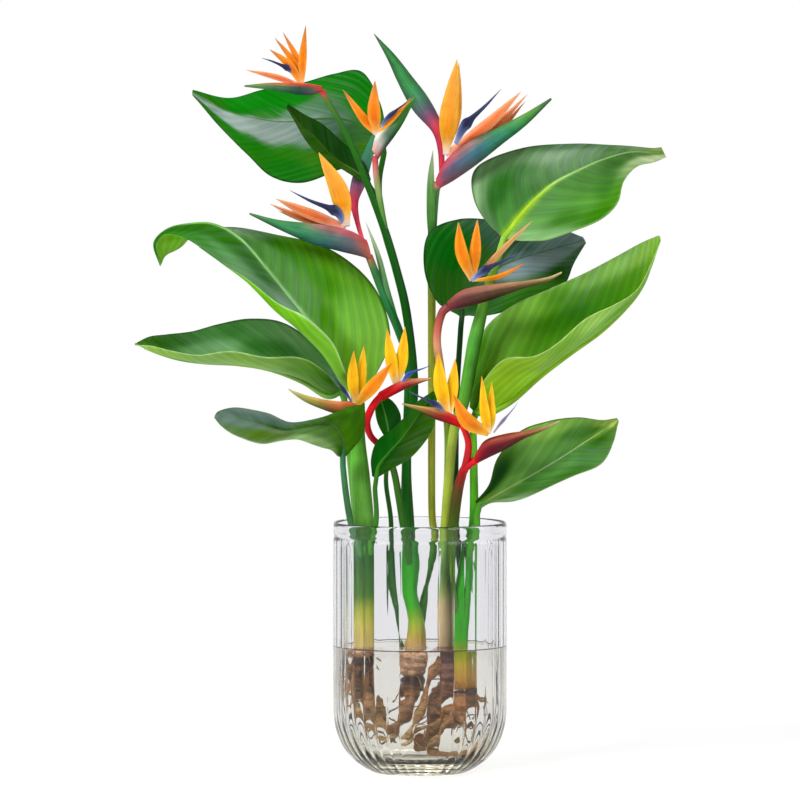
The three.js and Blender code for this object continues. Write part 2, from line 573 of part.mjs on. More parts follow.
// The six flower stalks, with a short branch where two heads share one
const stalks = {
  stalk_1_2: {
    heads: [1, 2], across: 4,
    main: [[-5, 6, SHEATH_FOOT], [-5, 6, 150], [-9, 6, 180], [-9, 7, 213], [-13, 10, 250], [-13, 12, 318],
      [-6, 11, 385], [-13, 8, 458], [-24, 6, 505], [-37, 4, 548], [-54, 1, 593], [-73, 0, 638],
      [-91, -2, 670], [-98, -3, 682]],
    radii: [10.5, 8, 7.2, 8.6, 5, 4.4, 4.4, 4.3, 4.2, 4, 3.6, 3, 2.8, 3],
    branch: [[-34, 4, 540], [-38, 3, 560], [-42, 0, 585], [-44, -3, 600], [-45, -4, 617]],
    branchRadii: [3, 3.2, 3.2, 3, 3],
  },
  stalk_3: {
    heads: [3], across: 4,
    main: [[-3, 8, 130], [4, 16, 173], [15, 24, 228], [12, 32, 262], [12, 38, 383], [12, 48, 470],
      [12, 50, 520], [13, 44, 556], [15, 33, 582], [18, 29, 590]],
    radii: [3.4, 3.6, 3.6, 3.6, 3.8, 4, 4.4, 4.6, 4.8, 4.4],
  },
  stalk_4: {
    heads: [4], across: 4,
    main: [[-10, 9, 200], [-15, 25, 250], [-14, 26, 318], [-12, 26, 380], [-12, 23, 413], [-21, 19, 442],
      [-31, 15, 466], [-40, 11, 488], [-46, 5, 504], [-51, 1, 517]],
    radii: [4, 4, 4, 4, 4.2, 4.4, 4.4, 4.2, 4, 3.8],
  },
  stalk_5: {
    heads: [5], across: 4,
    main: [[24, 5, 205], [26, 14, 250], [20, 10, 330], [23, 2, 373], [20, -12, 408], [17, -18, 430],
      [18, -20, 446], [22, -20, 460], [28, -20, 466]],
    radii: [3.6, 3.8, 3.8, 3.8, 4, 4, 4, 4.2, 4.4],
  },
  stalk_6_7: {
    heads: [6, 7], across: 4,
    main: [[-10, 3, 205], [-17, -9, 250], [-21, -12, 275], [-27, -15, 305], [-38, -19, 325], [-49, -22, 337],
      [-53, -24, 350], [-50, -25, 361], [-45, -26, 370], [-39, -26, 377]],
    radii: [3.8, 3.8, 3.6, 3.4, 3.2, 3.2, 3.6, 3.8, 3.6, 3.4],
    branch: [[-53, -24, 348], [-58, -25, 358], [-66, -26, 366]],
    branchRadii: [3.4, 3.4, 3.2],
  },
  stalk_8_9: {
    heads: [8, 9], across: 4,
    main: [[42, -3, 150], [34, -9, 190], [33, -12, 225], [34, -17, 255], [37, -27, 280], [41, -37, 297],
      [45, -44, 307], [56, -50, 315]],
    radii: [3.4, 3.6, 4.2, 5.4, 5.4, 4.6, 4.2, 3.8],
    branch: [[44, -43, 304], [47, -48, 318], [48, -51, 330], [45, -52, 341], [41, -52, 349]],
    branchRadii: [4, 3.8, 3.4, 3.2, 3.2],
  },
};

function stalkSolid(stalk, grow = 0) {
  const main = stem(stalk.main, stalk.radii, stalk.across, grow);
  if (!stalk.branch) return main;
  return main.add(stem(stalk.branch, stalk.branchRadii, stalk.across, grow));
}

// Roots: thick brown crowns that the sheaths stand on, and the long fleshy roots that hang from them
const roots = {
  roots_left: [
    { path: [[-57, 4, CROWN_TOP], [-57, 4, 116], [-57, 3, 104]], radii: [12, 12.4, 8.5], across: 5 },
    { path: [[-55, 2, 112], [-51, -4, 84], [-45, -10, 62], [-35, -13, 45], [-25, -15, 34]], radii: [4, 3.8, 3.6, 3.4, 2] },
    { path: [[-63, 4, 113], [-71, 9, 92], [-71, 14, 70]], radii: [4, 3.2, 2] },
    { path: [[-58, 4, 108], [-58, 8, 86], [-51, 10, 64], [-44, 12, 45]], radii: [5, 4.4, 3.8, 2] },
    { path: [[-52, 6, 110], [-42, 4, 80], [-36, 6, 56], [-30, 12, 36]], radii: [4, 3.2, 3, 1.8] },
    { path: [[-60, 0, 110], [-65, -14, 90], [-59, -24, 62]], radii: [4, 3, 1.8] },
  ],
  roots_centre: [
    {
      path: [[-4, 6, CROWN_TOP], [-4, 6, 112], [-6, 6, 97], [-8, 5, 84], [-9, 3, 70], [-19, 0, 48], [-30, -3, 36]],
      radii: [12, 11, 8, 7.6, 6.8, 6, 3], across: 5,
    },
    { path: [[-8, 8, 92], [-18, 16, 72], [-20, 26, 44]], radii: [4, 3.2, 2] },
  ],
  roots_right: [
    {
      path: [[24, 2, CROWN_TOP], [24, 2, 102], [20, 1, 83], [14, -2, 66], [10, -6, 48]],
      radii: [9, 8.8, 8, 7, 4], across: 5,
    },
    {
      path: [[42, -2, RIGHT_CROWN_TOP], [42, -2, 76], [32, -4, 60], [20, -6, 46], [8, -7, 34], [-3, -9, 24]],
      radii: [11.5, 11, 9.6, 8.8, 7.6, 3.5], across: 5,
    },
    { path: [[20, -2, 116], [9, -14, 93], [0, -19, 63], [-13, -20, 34]], radii: [4, 3.6, 3.6, 2.2] },
    { path: [[40, 2, 76], [40, 12, 56], [34, 18, 38]], radii: [4, 3.8, 2.4] },
    { path: [[46, -4, 77], [54, -8, 77], [61, -9, 72]], radii: [3.6, 2.8, 1.8] },
    { path: [[8, -8, 32], [24, -20, 20], [48, -22, 22], [62, -19, 31]], radii: [4, 3.6, 3.4, 2] },
    { path: [[34, -6, 64], [44, -22, 46], [40, -34, 32]], radii: [4, 3.2, 2] },
  ],
};

const rootsSolid = (clump, grow = 0) => unite(
  clump.map((root) => stem(root.path, root.radii, root.across ?? 3, grow)),
);

// The vase: a turned wall whose outside swells and sinks in upright ribs, from the neck down to the foot
const OUTER_PROFILE = [
  [0, 0], [FOOT_RADIUS, 0], [54, 4.2], [65, 12], [74.5, 22], [82.4, 37], [VASE_RADIUS, 64],
  [VASE_RADIUS - 0.6, 230], [NECK_RADIUS, 236.5], [NECK_RADIUS, NECK_HEIGHT], [VASE_RADIUS + 0.3, 246],
];
const RIB_SHARE = [0, 0, 0.8, 1, 1, 1, 1, 1, 0, 0, 0];
const LIP_TOP = [[86, VASE_HEIGHT - 1], [84, VASE_HEIGHT]];
const INNER_PROFILE = [
  [81.2, NECK_HEIGHT], [VASE_RADIUS - WALL, 226], [VASE_RADIUS - WALL, 66], [80, 46],
  [71, 27], [57, 16.5], [0, FLOOR_THICKNESS],
];

// A turned form with its axis along Z; its ribs take radius away between their crests
function turned(profile, segments, ribShares = []) {
  const lathe = new THREE.LatheGeometry(profile.map(([r, z]) => new THREE.Vector2(r, z)), segments);
  lathe.rotateX(Math.PI / 2);
  const position = lathe.attributes.position;
  for (let s = 0; s <= segments; s += 1) {
    for (let p = 0; p < profile.length; p += 1) {
      const index = s * profile.length + p;
      const cut = (s % 2) * RIB_DEPTH * (ribShares[p] ?? 0);
      const share = profile[p][0] > 0 ? 1 - cut / profile[p][0] : 1;
      position.setXYZ(index, position.getX(index) * share, position.getY(index) * share, position.getZ(index));
    }
  }
  const solid = solidOf(lathe);
  return solid.volume() > 0 ? solid : solidOf(flipped(lathe));
}

function flipped(geometry) {
  const turnedOver = geometry.clone();
  const index = turnedOver.index;
  for (let i = 0; i < index.count; i += 3) {
    const kept = index.getX(i);
    index.setX(i, index.getX(i + 1));
    index.setX(i + 1, kept);
  }
  return turnedOver;
}

const vaseSolid = () => turned([...OUTER_PROFILE, ...LIP_TOP, ...INNER_PROFILE], 2 * RIB_COUNT, RIB_SHARE);

// The water fills the vase up to its level, apart from what stands in it
const submerged = INNER_PROFILE.filter(([, z]) => z < WATER_LEVEL).reverse();
const waterProfile = [
  ...submerged.map(([r, z]) => [Math.max(0, r - CLEARANCE), z + CLEARANCE]),
  [VASE_RADIUS - WALL - CLEARANCE, WATER_LEVEL],
  [0, WATER_LEVEL],
];
const water = cutBack(turned(waterProfile, WATER_SEGMENTS), [
  petioleRoom(leaves.leaf_left_large),
  petioleRoom(leaves.leaf_top_right),
  petioleRoom(leaves.leaf_right_large),
  stem(stalks.stalk_1_2.main, stalks.stalk_1_2.radii, 4, CLEARANCE),
  ...Object.values(roots).map((clump) => rootsSolid(clump, CLEARANCE)),
]);

// The object: every piece is its own named mesh
const plant = new THREE.Group();

function piece(name, solid, colour, roughness, extra = {}) {
  const material = new THREE.MeshStandardMaterial({ color: colour, roughness, metalness: 0, ...extra });
  const mesh = new THREE.Mesh(geometryOf(solid), material);
  mesh.name = name;
  plant.add(mesh);
}

piece('vase', vaseSolid(), '#e8f0ee', 0.05, { transparent: true, opacity: 0.35 });
piece('water', water, '#dfe8df', 0.03, { transparent: true, opacity: 0.3 });
for (const [name, clump] of Object.entries(roots)) piece(name, rootsSolid(clump), ROOT_BROWN, 0.7);

// Which sheath each slimmer petiole or stalk leans into and is closed against
const leftSheath = petioleRoom(leaves.leaf_left_large);
const rightSheath = petioleRoom(leaves.leaf_right_large);
const middleSheath = petioleRoom(leaves.leaf_top_right);
const centreSheath = stalkSolid(stalks.stalk_1_2, CLEARANCE);
const leansInto = {
  leaf_top_left: [centreSheath],
  leaf_narrow: [centreSheath],
  leaf_left_folded: [leftSheath],
  leaf_left_low: [leftSheath],
  leaf_centre_small: [leftSheath],
  leaf_behind: [rightSheath],
  leaf_right_low: [rightSheath],
  leaf_back_small: [centreSheath],
  stalk_3: [centreSheath],
  stalk_4: [centreSheath],
  stalk_5: [middleSheath],
  stalk_6_7: [centreSheath],
  stalk_8_9: [rightSheath],
};

for (const [name, leaf] of Object.entries(leaves)) {
  piece(name, cutBack(leafSolid(leaf), leansInto[name] ?? []), leaf.colour, 0.45);
}

for (const [name, stalk] of Object.entries(stalks)) {
  const spatheRoom = stalk.heads.map((number) => spatheSolid(heads[number - 1].spathe, CLEARANCE));
  piece(name, cutBack(stalkSolid(stalk), [...(leansInto[name] ?? []), ...spatheRoom]), STALK_GREEN, 0.5);
}

for (const head of heads) {
  const petal = petalSolid(head.petal);
  const petalRoom = petalSolid(head.petal, CLEARANCE);
  const sepals = cutBack(sepalsSolid(head), [petalRoom]);
  const spathe = head.bract ? spatheSolid(head.spathe).add(bractSolid(head.bract)) : spatheSolid(head.spathe);
  piece(`spathe_${head.number}`, cutBack(spathe, [sepalsSolid(head, CLEARANCE), petalRoom]), head.spatheColour, 0.5);
  piece(`sepals_${head.number}`, sepals, head.sepalColour, 0.45);
  piece(`petals_${head.number}`, petal, PETAL_BLUE, 0.45);
}

export default plant;
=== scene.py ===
# The looks of a bird of paradise plant (Strelitzia reginae) rooted in water in a ribbed glass vase.
# Every solid of the frame is replaced by a finer piece in its place. Where they were fitted more closely to
# the photograph, some petioles, a stalk, edges or midribs of four blades and parts of every flower head lie
# otherwise than in the solids. The vase's rim and ribs differ too, and there are more roots.
# Points are written in millimetres, with the vase's foot at the origin, and MM turns them into metres.

import math
import random

import bmesh
import bpy
import numpy as np
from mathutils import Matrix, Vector


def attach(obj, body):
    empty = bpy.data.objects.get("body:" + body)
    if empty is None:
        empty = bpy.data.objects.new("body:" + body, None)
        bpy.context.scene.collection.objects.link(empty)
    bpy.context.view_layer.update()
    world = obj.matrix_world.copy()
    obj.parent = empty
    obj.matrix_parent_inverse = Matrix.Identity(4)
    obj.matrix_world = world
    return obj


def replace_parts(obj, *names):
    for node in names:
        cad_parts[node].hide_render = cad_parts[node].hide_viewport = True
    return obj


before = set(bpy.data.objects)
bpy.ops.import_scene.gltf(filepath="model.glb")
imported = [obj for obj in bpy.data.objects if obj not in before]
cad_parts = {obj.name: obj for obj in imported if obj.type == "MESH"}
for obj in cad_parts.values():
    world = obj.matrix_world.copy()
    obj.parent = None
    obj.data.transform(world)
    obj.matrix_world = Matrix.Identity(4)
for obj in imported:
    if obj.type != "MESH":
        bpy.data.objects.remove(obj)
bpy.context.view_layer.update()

MM = 0.001
BODY = "root"

# Driving dimensions in millimetres. In the part's source the vase and its neck are 3 mm taller, and the ribs
# are 1.5 mm deep. Blades are thinner here too, and flower tissues have thinner margins and finer points.
VASE_HEIGHT = 251
VASE_RADIUS = 87
FOOT_RADIUS = 46
WALL = 3.6
FLOOR_THICKNESS = 9
# Below this height the water's skin lies on the floor, and follows its waves
FLOOR_RISE = 24
RIB_COUNT = 40
RIB_DEPTH = 0.68
INNER_RIBS = 0.78
NECK_HEIGHT = 237
LIP_RADIUS = 86.8
LIP_WALL = 2.6
WATER_LEVEL = 126
FAN_OUT = 1.5
FAN_LOW = 256
FAN_HIGH = 360
SHEATH_FOOT = 124
CROWN_TOP = 123.7
RIGHT_SHEATH_FOOT = 84
RIGHT_CROWN_TOP = 83.7

# How far the water runs into the glass, and how high it climbs where it wets it, in millimetres
WETTING = 0.12
RISE = 1.4
# The camera's height above level, in degrees
VIEW_RISE = 2.95
# Light that is taken off every tone, for the haze that the gloss puts over it
WAX_HAZE = 0.011
# Painted light and shade on stems and roots: the share by which a stem's colour is made paler on its left
# side and darker on its right
PAINTED_SIDE_LIGHT = 0.22
# How bright the room is at least in a mirror reflection
GLINT_LIGHT = 0.62
# The glare of glass and water is held back to this, less than real, so that the stems show through
HELD_GLARE = (0.4, 0.4, 0.4, 1)
# Spacing of the side veins that are drawn, in millimetres
VEIN_SPACING = 6.5
# Upper bound of a random start in a wave, about one whole turn
ANY_START = 6.3


# Curves through given points

def placed(points):
    """Points as an array, fanned out to front and back above the rim as the plant is.

    Their heights are as seen from a little above, so those in front stand higher than they look."""
    p = np.array(points, float)
    share = np.clip((p[..., 2] - FAN_LOW) / (FAN_HIGH - FAN_LOW), 0, 1)
    share = share * share * (3 - 2 * share)
    p[..., 1] *= 1 + (FAN_OUT - 1) * share
    p[..., 2] -= p[..., 1] * share * math.tan(math.radians(VIEW_RISE))
    return p


def smooth(stations, shares):
    """Values on a smooth line through evenly counted stations, at shares from 0 to 1."""
    p = np.array(stations, float)
    last = len(p) - 1
    p = np.concatenate([2 * p[:1] - p[1:2], p, 2 * p[-1:] - p[-2:-1]])
    place = np.clip(np.array(shares, float), 0, 1) * last
    index = np.minimum(place.astype(int), last - 1)
    w = (place - index).reshape((-1,) + (1,) * (p.ndim - 1))
    a, b, c, d = (p[index + k] for k in range(4))
    leave = 0.5 * (c - a)
    arrive = 0.5 * (d - b)
    return b + w * (leave + w * (3 * (c - b) - 2 * leave - arrive + w * (2 * (b - c) + leave + arrive)))


def run(points, shares):
    """Points on the curve through given points."""
    return smooth(placed(points), shares)


def profile(values, shares):
    """Values that run straight from one evenly spaced number to the next."""
    return np.interp(shares, np.linspace(0, 1, len(values)), values)


def unit(v):
    return v / np.maximum(np.linalg.norm(v, axis=-1, keepdims=True), 1e-9)


def directions(line):
    return unit(np.gradient(line, axis=0))


def length_along(line):
    steps = np.linalg.norm(np.diff(line, axis=0), axis=1)
    return np.concatenate([[0], np.cumsum(steps)])


# Colours

def linear(hex_colour):
    """An sRGB hex colour as linear red, green and blue."""
    shares = [int(hex_colour[i:i + 2], 16) / 255 for i in (1, 3, 5)]
    return np.array([s / 12.92 if s <= 0.04045 else ((s + 0.055) / 1.055) ** 2.4 for s in shares])


def blend_values(spots, values, shares, steep=1.6):
    """Values at each place, as near as possible to those of the spots that lie closest to it."""
    at = np.stack(np.broadcast_arrays(*shares), axis=-1)
    gap = ((at[..., None, :] - np.array(spots, float)) ** 2).sum(-1)
    weight = 1 / (gap + 0.004) ** steep
    return (weight[..., None] * np.array(values, float)).sum(-2) / weight.sum(-1)[..., None]


def blend_tones(tones, *shares, steep=1.6):
    """Colour at each place. A tone is its own place, one share for each given one, and a hex colour."""
    return blend_values([tone[:-1] for tone in tones], [linear(tone[-1]) for tone in tones], shares, steep)


def ramp(tones, shares):
    """Colour that runs straight from one (share, colour) tone to the next."""
    spots = [tone[0] for tone in tones]
    colours = np.array([linear(tone[-1]) for tone in tones])
    return np.stack([np.interp(shares, spots, colours[:, k]) for k in range(3)], axis=-1)


def rows_of_tones(rows, t, across):
    """Colours over a skin from rows of tones along it, each row at its own place across it."""
    places = np.array([row[0] for row in rows], float)
    lines = np.stack([ramp(row[1], t) for row in rows])
    if len(rows) == 1:
        return np.repeat(lines[0][:, None], len(across), axis=1)
    index = np.clip(np.searchsorted(places, across, side="right") - 1, 0, len(rows) - 2)
    w = np.clip((across - places[index]) / (places[index + 1] - places[index]), 0, 1)
    w = (w * w * (3 - 2 * w))[None, :, None]
    below, above = (lines[index + k].transpose(1, 0, 2) for k in (0, 1))
    return below + (above - below) * w


# Meshes

class Form:
    """One piece's mesh, gathered skin by skin before it becomes a Blender object."""

    def __init__(self, name, slot, finishes):
        self.name, self.slot, self.finishes = name, slot, finishes
        self.points, self.tints, self.places = [], [], []
        self.faces, self.finish = [], []
        self.count = 0

    def loft(self, rings, tints, places, finish=0):
        """A closed skin over rings of points, with a cap on each end ring."""
        rows, around = rings.shape[:2]
        index = self.count + np.arange(rows * around).reshape(rows, around)
        following = np.roll(index, -1, axis=1)
        quads = np.stack([index[:-1], following[:-1], following[1:], index[1:]], axis=-1)
        faces = quads.reshape(-1, 4).tolist() + [index[0][::-1].tolist(), index[-1].tolist()]
        self.faces += faces
        self.finish += [finish] * len(faces)
        self.points.append(rings.reshape(-1, 3))
        self.tints.append(np.broadcast_to(tints, rings.shape).reshape(-1, 3))
        self.places.append(np.stack(np.broadcast_arrays(*places), axis=-1).reshape(-1, 3))
        self.count += rows * around

    def finished(self):
        """The Blender object, with its colours and its places on the tissue as attributes."""
        mesh = bpy.data.meshes.new(self.name)
        mesh.from_pydata((np.concatenate(self.points) * MM).tolist(), [], self.faces)
        mesh.polygons.foreach_set("use_smooth", [True] * len(mesh.polygons))
        mesh.polygons.foreach_set("material_index", self.finish)
        tints = np.maximum(np.concatenate(self.tints) - WAX_HAZE, 0.001)
        tint = mesh.attributes.new("tint", "FLOAT_COLOR", "POINT")
        tint.data.foreach_set("color", np.hstack([tints, np.ones((len(tints), 1))]).ravel())
        place = mesh.attributes.new("place", "FLOAT_VECTOR", "POINT")
        place.data.foreach_set("vector", np.concatenate(self.places).ravel())
        shell = bmesh.new()
        shell.from_mesh(mesh)
        bmesh.ops.recalc_face_normals(shell, faces=shell.faces)
        shell.to_mesh(mesh)
        shell.free()
        for finish in self.finishes:
            mesh.materials.append(finish)
        piece = bpy.data.objects.new(self.name, mesh)
        bpy.context.scene.collection.objects.link(piece)
        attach(piece, BODY)
        return piece


def tube(form, centres, radii, colours, side=(1, 0, 0), around=18, channel=0.0, finish=0,
         painted_light=PAINTED_SIDE_LIGHT):
    """A round stem along a line of centres, worked back from its top end, where the side is given.

    channel sinks a groove into the face along the normal. Painted light and shade: the left side's colour is
    made paler and the right side's darker, and sun is the share of its colour that this adds on the left and
    takes from the far side."""
    along = directions(centres)
    angles = np.arange(around) * 2 * math.pi / around
    side = np.array(side, float)
    rings = np.zeros((len(centres), around, 3))
    sink = 1 - channel * np.exp(-((angles - math.pi / 2) / 0.45) ** 2)
    for i in reversed(range(len(centres))):
        side = unit(side - along[i] * side.dot(along[i]))
        normal = np.cross(along[i], side)
        reach = (radii[i] * sink)[:, None]
        rings[i] = centres[i] + reach * (np.cos(angles)[:, None] * side + np.sin(angles)[:, None] * normal)
    travelled = length_along(centres)
    shares = travelled / travelled[-1]
    # Painted light and shade: the colour is paler on the left side, which faces the light, and darker on the
    # right
    painted_side_shading = 1 - painted_light * unit(rings - centres[:, None])[..., :1]
    tints = colours[:, None, :] * painted_side_shading
    places = (travelled[:, None] * MM, angles[None, :] * np.mean(radii) * MM, shares[:, None])
    form.loft(rings, tints, places, finish)


# Materials: each piece carries its own tones as an attribute, and the nodes add the tissue's grain

def add(tree, kind, inputs=None, stops=(), **settings):
    """Adds a node with its settings, its values and links by socket, and its ramp's colours."""
    made = tree.nodes.new(kind)
    for name, value in settings.items():
        setattr(made, name, value)
    for socket, value in (inputs or {}).items():
        if isinstance(value, bpy.types.NodeSocket):
            tree.links.new(value, made.inputs[socket])
        else:
            made.inputs[socket].default_value = value
    for place, (position, shade) in enumerate(stops):
        if place > 1:
            made.color_ramp.elements.new(position)
        made.color_ramp.elements[place].position = position
        made.color_ramp.elements[place].color = (shade, shade, shade, 1)
    return made


def blank_material(name, **surface):
    """A material with one Principled shader, and its values set on the shader's own sockets."""
    made = bpy.data.materials.new(name)
    made.use_nodes = True
    shader = made.node_tree.nodes["Principled BSDF"]
    for socket, value in surface.items():
        shader.inputs[socket.replace("_", " ")].default_value = value
    return made, shader


def grown_tissue(name, fibre, mottle, depth, contrast, gloss, veins=(), satin=None, **surface):
    """Living tissue: the piece's tones, fibres along its length, mottling and a grain to feel.

    fibre is (width, length) of the fibres and mottle the size of the patches, in millimetres;
    depth is the relief's height in millimetres, contrast the share that the fibres take from the
    colour, and gloss the lowest and highest roughness. veins has a (spacing, strength) for each order
    of side veins, and satin is (colour, width, length) of the bands of painted sheen that are mixed into
    the colour along them, as much as the place's third value asks."""
    made, shader = blank_material(name, **surface)
    tree = made.node_tree
    tint = add(tree, "ShaderNodeAttribute", attribute_name="tint")
    place = add(tree, "ShaderNodeAttribute", attribute_name="place")
    space = add(tree, "ShaderNodeTexCoord")
    lie = place.outputs["Vector"]
    axes = add(tree, "ShaderNodeSeparateXYZ", {0: lie})
    colour = tint.outputs["Color"]
    # Painted sheen: pale bands mixed into the base colour, as much as the place's third value asks
    if satin:
        shade, width, length = satin
        drawn = add(
            tree, "ShaderNodeVectorMath",
            {0: lie, 1: (1 / (length * MM), 1 / (width * MM), 0)}, operation="MULTIPLY")
        bands = add(tree, "ShaderNodeTexNoise", {"Vector": drawn.outputs[0], "Scale": 1, "Detail": 2.5})
        cover = add(
            tree, "ShaderNodeMapRange",
            {"Value": bands.outputs["Fac"], "From Min": 0.46, "From Max": 0.66, "To Min": 0, "To Max": 0.28})
        share = add(
            tree, "ShaderNodeMath", {0: cover.outputs[0], 1: axes.outputs["Z"]}, operation="MULTIPLY")
        colour = add(
            tree, "ShaderNodeMix", {0: share.outputs[0], 6: colour, 7: (*linear(shade), 1)},
            data_type="RGBA").outputs[2]
    width, length = (1 / (size * MM) for size in fibre)
    drawn = add(tree, "ShaderNodeVectorMath", {0: lie, 1: (length, width, 0)}, operation="MULTIPLY")
    fibres = add(
        tree, "ShaderNodeTexNoise",
        {"Vector": drawn.outputs[0], "Scale": 1, "Detail": 3, "Roughness": 0.6})
    relief = fibres.outputs["Fac"]
    streaks = add(
        tree, "ShaderNodeValToRGB", {0: fibres.outputs["Fac"]},
        stops=((0.3, 1 - contrast), (0.7, 1 + contrast)))
    patches = add(
        tree, "ShaderNodeTexNoise",
        {"Vector": space.outputs["Object"], "Scale": 1 / (mottle * MM), "Detail": 2})
    clouds = add(
        tree, "ShaderNodeValToRGB", {0: patches.outputs["Fac"]},
        stops=((0.3, 1 - 0.6 * contrast), (0.7, 1 + 0.6 * contrast)))
    shades = [streaks, clouds]
    for spacing, strength in veins:
        turns = add(
            tree, "ShaderNodeMath",
            {0: axes.outputs["Y"], 1: 2 * math.pi / (spacing * MM)}, operation="MULTIPLY")
        wave = add(tree, "ShaderNodeMath", {0: turns.outputs[0]}, operation="SINE")
        ridge = add(
            tree, "ShaderNodeMapRange",
            {"Value": wave.outputs[0], "From Min": -1, "From Max": 1, "To Min": 0, "To Max": 1})
        shades.append(add(
            tree, "ShaderNodeValToRGB", {0: ridge.outputs[0]},
            stops=((0, 1 - strength), (0.5, 1), (0.93, 1 + 0.2 * strength), (0.985, 1 + 2.4 * strength))))
        relief = add(
            tree, "ShaderNodeMath", {0: ridge.outputs[0], 1: 3 * strength, 2: relief},
            operation="MULTIPLY_ADD").outputs[0]
    for shade in shades:
        colour = add(
            tree, "ShaderNodeMix", {0: 1, 6: colour, 7: shade.outputs[0]},
            data_type="RGBA", blend_type="MULTIPLY").outputs[2]
    bump = add(tree, "ShaderNodeBump", {"Strength": 0.6, "Distance": depth * MM, "Height": relief})
    sheen = add(
        tree, "ShaderNodeMapRange",
        {"Value": patches.outputs["Fac"], "From Min": 0.3, "From Max": 0.7, "To Min": gloss[0],
         "To Max": gloss[1]})
    tree.links.new(colour, shader.inputs["Base Color"])
    tree.links.new(sheen.outputs[0], shader.inputs["Roughness"])
    tree.links.new(bump.outputs[0], shader.inputs["Normal"])
    return made


# Leaf blade under a waxy cuticle, with side veins that leave the midrib every few millimetres. The
# real ones lie about 1 mm apart, and only the stronger ones are drawn. Along them lie bands of painted
# satin sheen, a pale grey-green mixed into the colour.
leaf_cuticle = grown_tissue(
    "leaf_blade_cuticle", fibre=(0.8, 26), mottle=26, depth=0.4, contrast=0.13, gloss=(0.34, 0.5),
    veins=((VEIN_SPACING, 0.04), (3 * VEIN_SPACING, 0.085)), satin=("#a8bcb0", 12, 90),
    IOR=1.42, Specular_IOR_Level=0.05)
# Skin of petioles and flower stalks: smooth and waxy with fine fibres along its length.
stalk_skin = grown_tissue(
    "stalk_skin", fibre=(1.1, 45), mottle=18, depth=0.35, contrast=0.2, gloss=(0.32, 0.5),
    IOR=1.42, Specular_IOR_Level=0.28)
# Boat-shaped bract: leathery, with a bloom of wax that greys it and fibres that run to its tip.
spathe_leather = grown_tissue(
    "spathe_leather", fibre=(0.9, 30), mottle=14, depth=0.3, contrast=0.26, gloss=(0.4, 0.58),
    IOR=1.42, Specular_IOR_Level=0.2)
# Sepal: satin tissue with fine fibres, so its colour glows and its edges stay crisp.
sepal_satin = grown_tissue(
    "sepal_satin", fibre=(0.8, 26), mottle=12, depth=0.22, contrast=0.2, gloss=(0.42, 0.6),
    IOR=1.4, Specular_IOR_Level=0.25)
# Arrow petal: deep blue tissue with a velvet bloom that lightens it at a glance.
petal_velvet = grown_tissue(
    "petal_velvet", fibre=(0.8, 20), mottle=9, depth=0.2, contrast=0.2, gloss=(0.4, 0.6),
    IOR=1.4, Sheen_Weight=0.4, Sheen_Roughness=0.4)
# Root skin: corky and damp, speckled pale and dark. The rings round it come with its tones.
root_cork = grown_tissue(
    "root_cork", fibre=(2.0, 1.5), mottle=4, depth=0.7, contrast=0.6, gloss=(0.38, 0.7), IOR=1.45)


def see_through(name, ior, shade, waves, **surface):
    """Clear material that bends light, and lets the lamps through to what stands behind it.

    waves is the size of its waviness in millimetres and the height of it."""
    made, shader = blank_material(name, IOR=ior, Transmission_Weight=1.0, **surface)
    tree = made.node_tree
    shader.inputs["Base Color"].default_value = (*linear(shade), 1)
    output = tree.nodes["Material Output"]
    space = add(tree, "ShaderNodeTexCoord")
    size, height = waves
    drawn = add(
        tree, "ShaderNodeVectorMath",
        {0: space.outputs["Object"], 1: (1 / (size * MM), 1 / (size * MM), 0.2 / (size * MM))},
        operation="MULTIPLY")
    wavy = add(tree, "ShaderNodeTexNoise", {"Vector": drawn.outputs[0], "Scale": 1, "Detail": 1})
    bump = add(
        tree, "ShaderNodeBump", {"Strength": 1, "Distance": height * MM, "Height": wavy.outputs["Fac"]})
    tree.links.new(bump.outputs[0], shader.inputs["Normal"])
    ray = add(tree, "ShaderNodeLightPath")
    clear = add(tree, "ShaderNodeBsdfTransparent", {"Color": (*linear(shade), 1)})
    mixed = add(
        tree, "ShaderNodeMixShader",
        {0: ray.outputs["Is Shadow Ray"], 1: shader.outputs[0], 2: clear.outputs[0]})
    tree.links.new(mixed.outputs[0], output.inputs["Surface"])
    return made


# Pressed soda-lime glass: its mould leaves a faint waviness that breaks up what is seen through it.
pressed_glass = see_through(
    "pressed_soda_lime_glass", 1.5, "#f2f2f4", waves=(5, 0.04), Roughness=0.0,
    Specular_Tint=HELD_GLARE)
# Water that roots have stood in: clear, with the faintest straw tint. It bends light less than real
# water does, so that the roots show where they stand.
clear_water = see_through(
    "root_water", 1.08, "#f0eee4", waves=(12, 0.02), Roughness=0.0, Specular_Tint=HELD_GLARE)
water_tree = clear_water.node_tree
water_shader = water_tree.nodes["Principled BSDF"]
# Painted shade: the water is coloured dark in a thin ring where it climbs the glass, for the dark edge that
# the curved water shows there.
water_place = add(water_tree, "ShaderNodeAttribute", attribute_name="place")
water_height = add(water_tree, "ShaderNodeSeparateXYZ", {0: water_place.outputs["Vector"]})
painted_meniscus_line = add(
    water_tree, "ShaderNodeMapRange",
    {"Value": water_height.outputs["X"], "From Min": (WATER_LEVEL + 0.3) * MM,
     "From Max": (WATER_LEVEL + 0.8) * MM, "To Min": 0, "To Max": 1})
water_shade = add(
    water_tree, "ShaderNodeMix",
    {0: painted_meniscus_line.outputs[0], 6: (*linear("#f0eee4"), 1), 7: (*linear("#8c847c"), 1)}, data_type="RGBA")
# Painted reflection: the lowest water is given an olive cast, for the roots that show in it.
painted_root_reflection = add(
    water_tree, "ShaderNodeMapRange",
    {"Value": water_height.outputs["X"], "From Min": 12 * MM, "From Max": 44 * MM, "To Min": 1, "To Max": 0})
water_shade = add(
    water_tree, "ShaderNodeMix",
    {0: painted_root_reflection.outputs[0], 6: water_shade.outputs[2], 7: (*linear("#e4e0ca"), 1)}, data_type="RGBA")
water_tree.links.new(water_shade.outputs[2], water_shader.inputs["Base Color"])


# The vase and the water

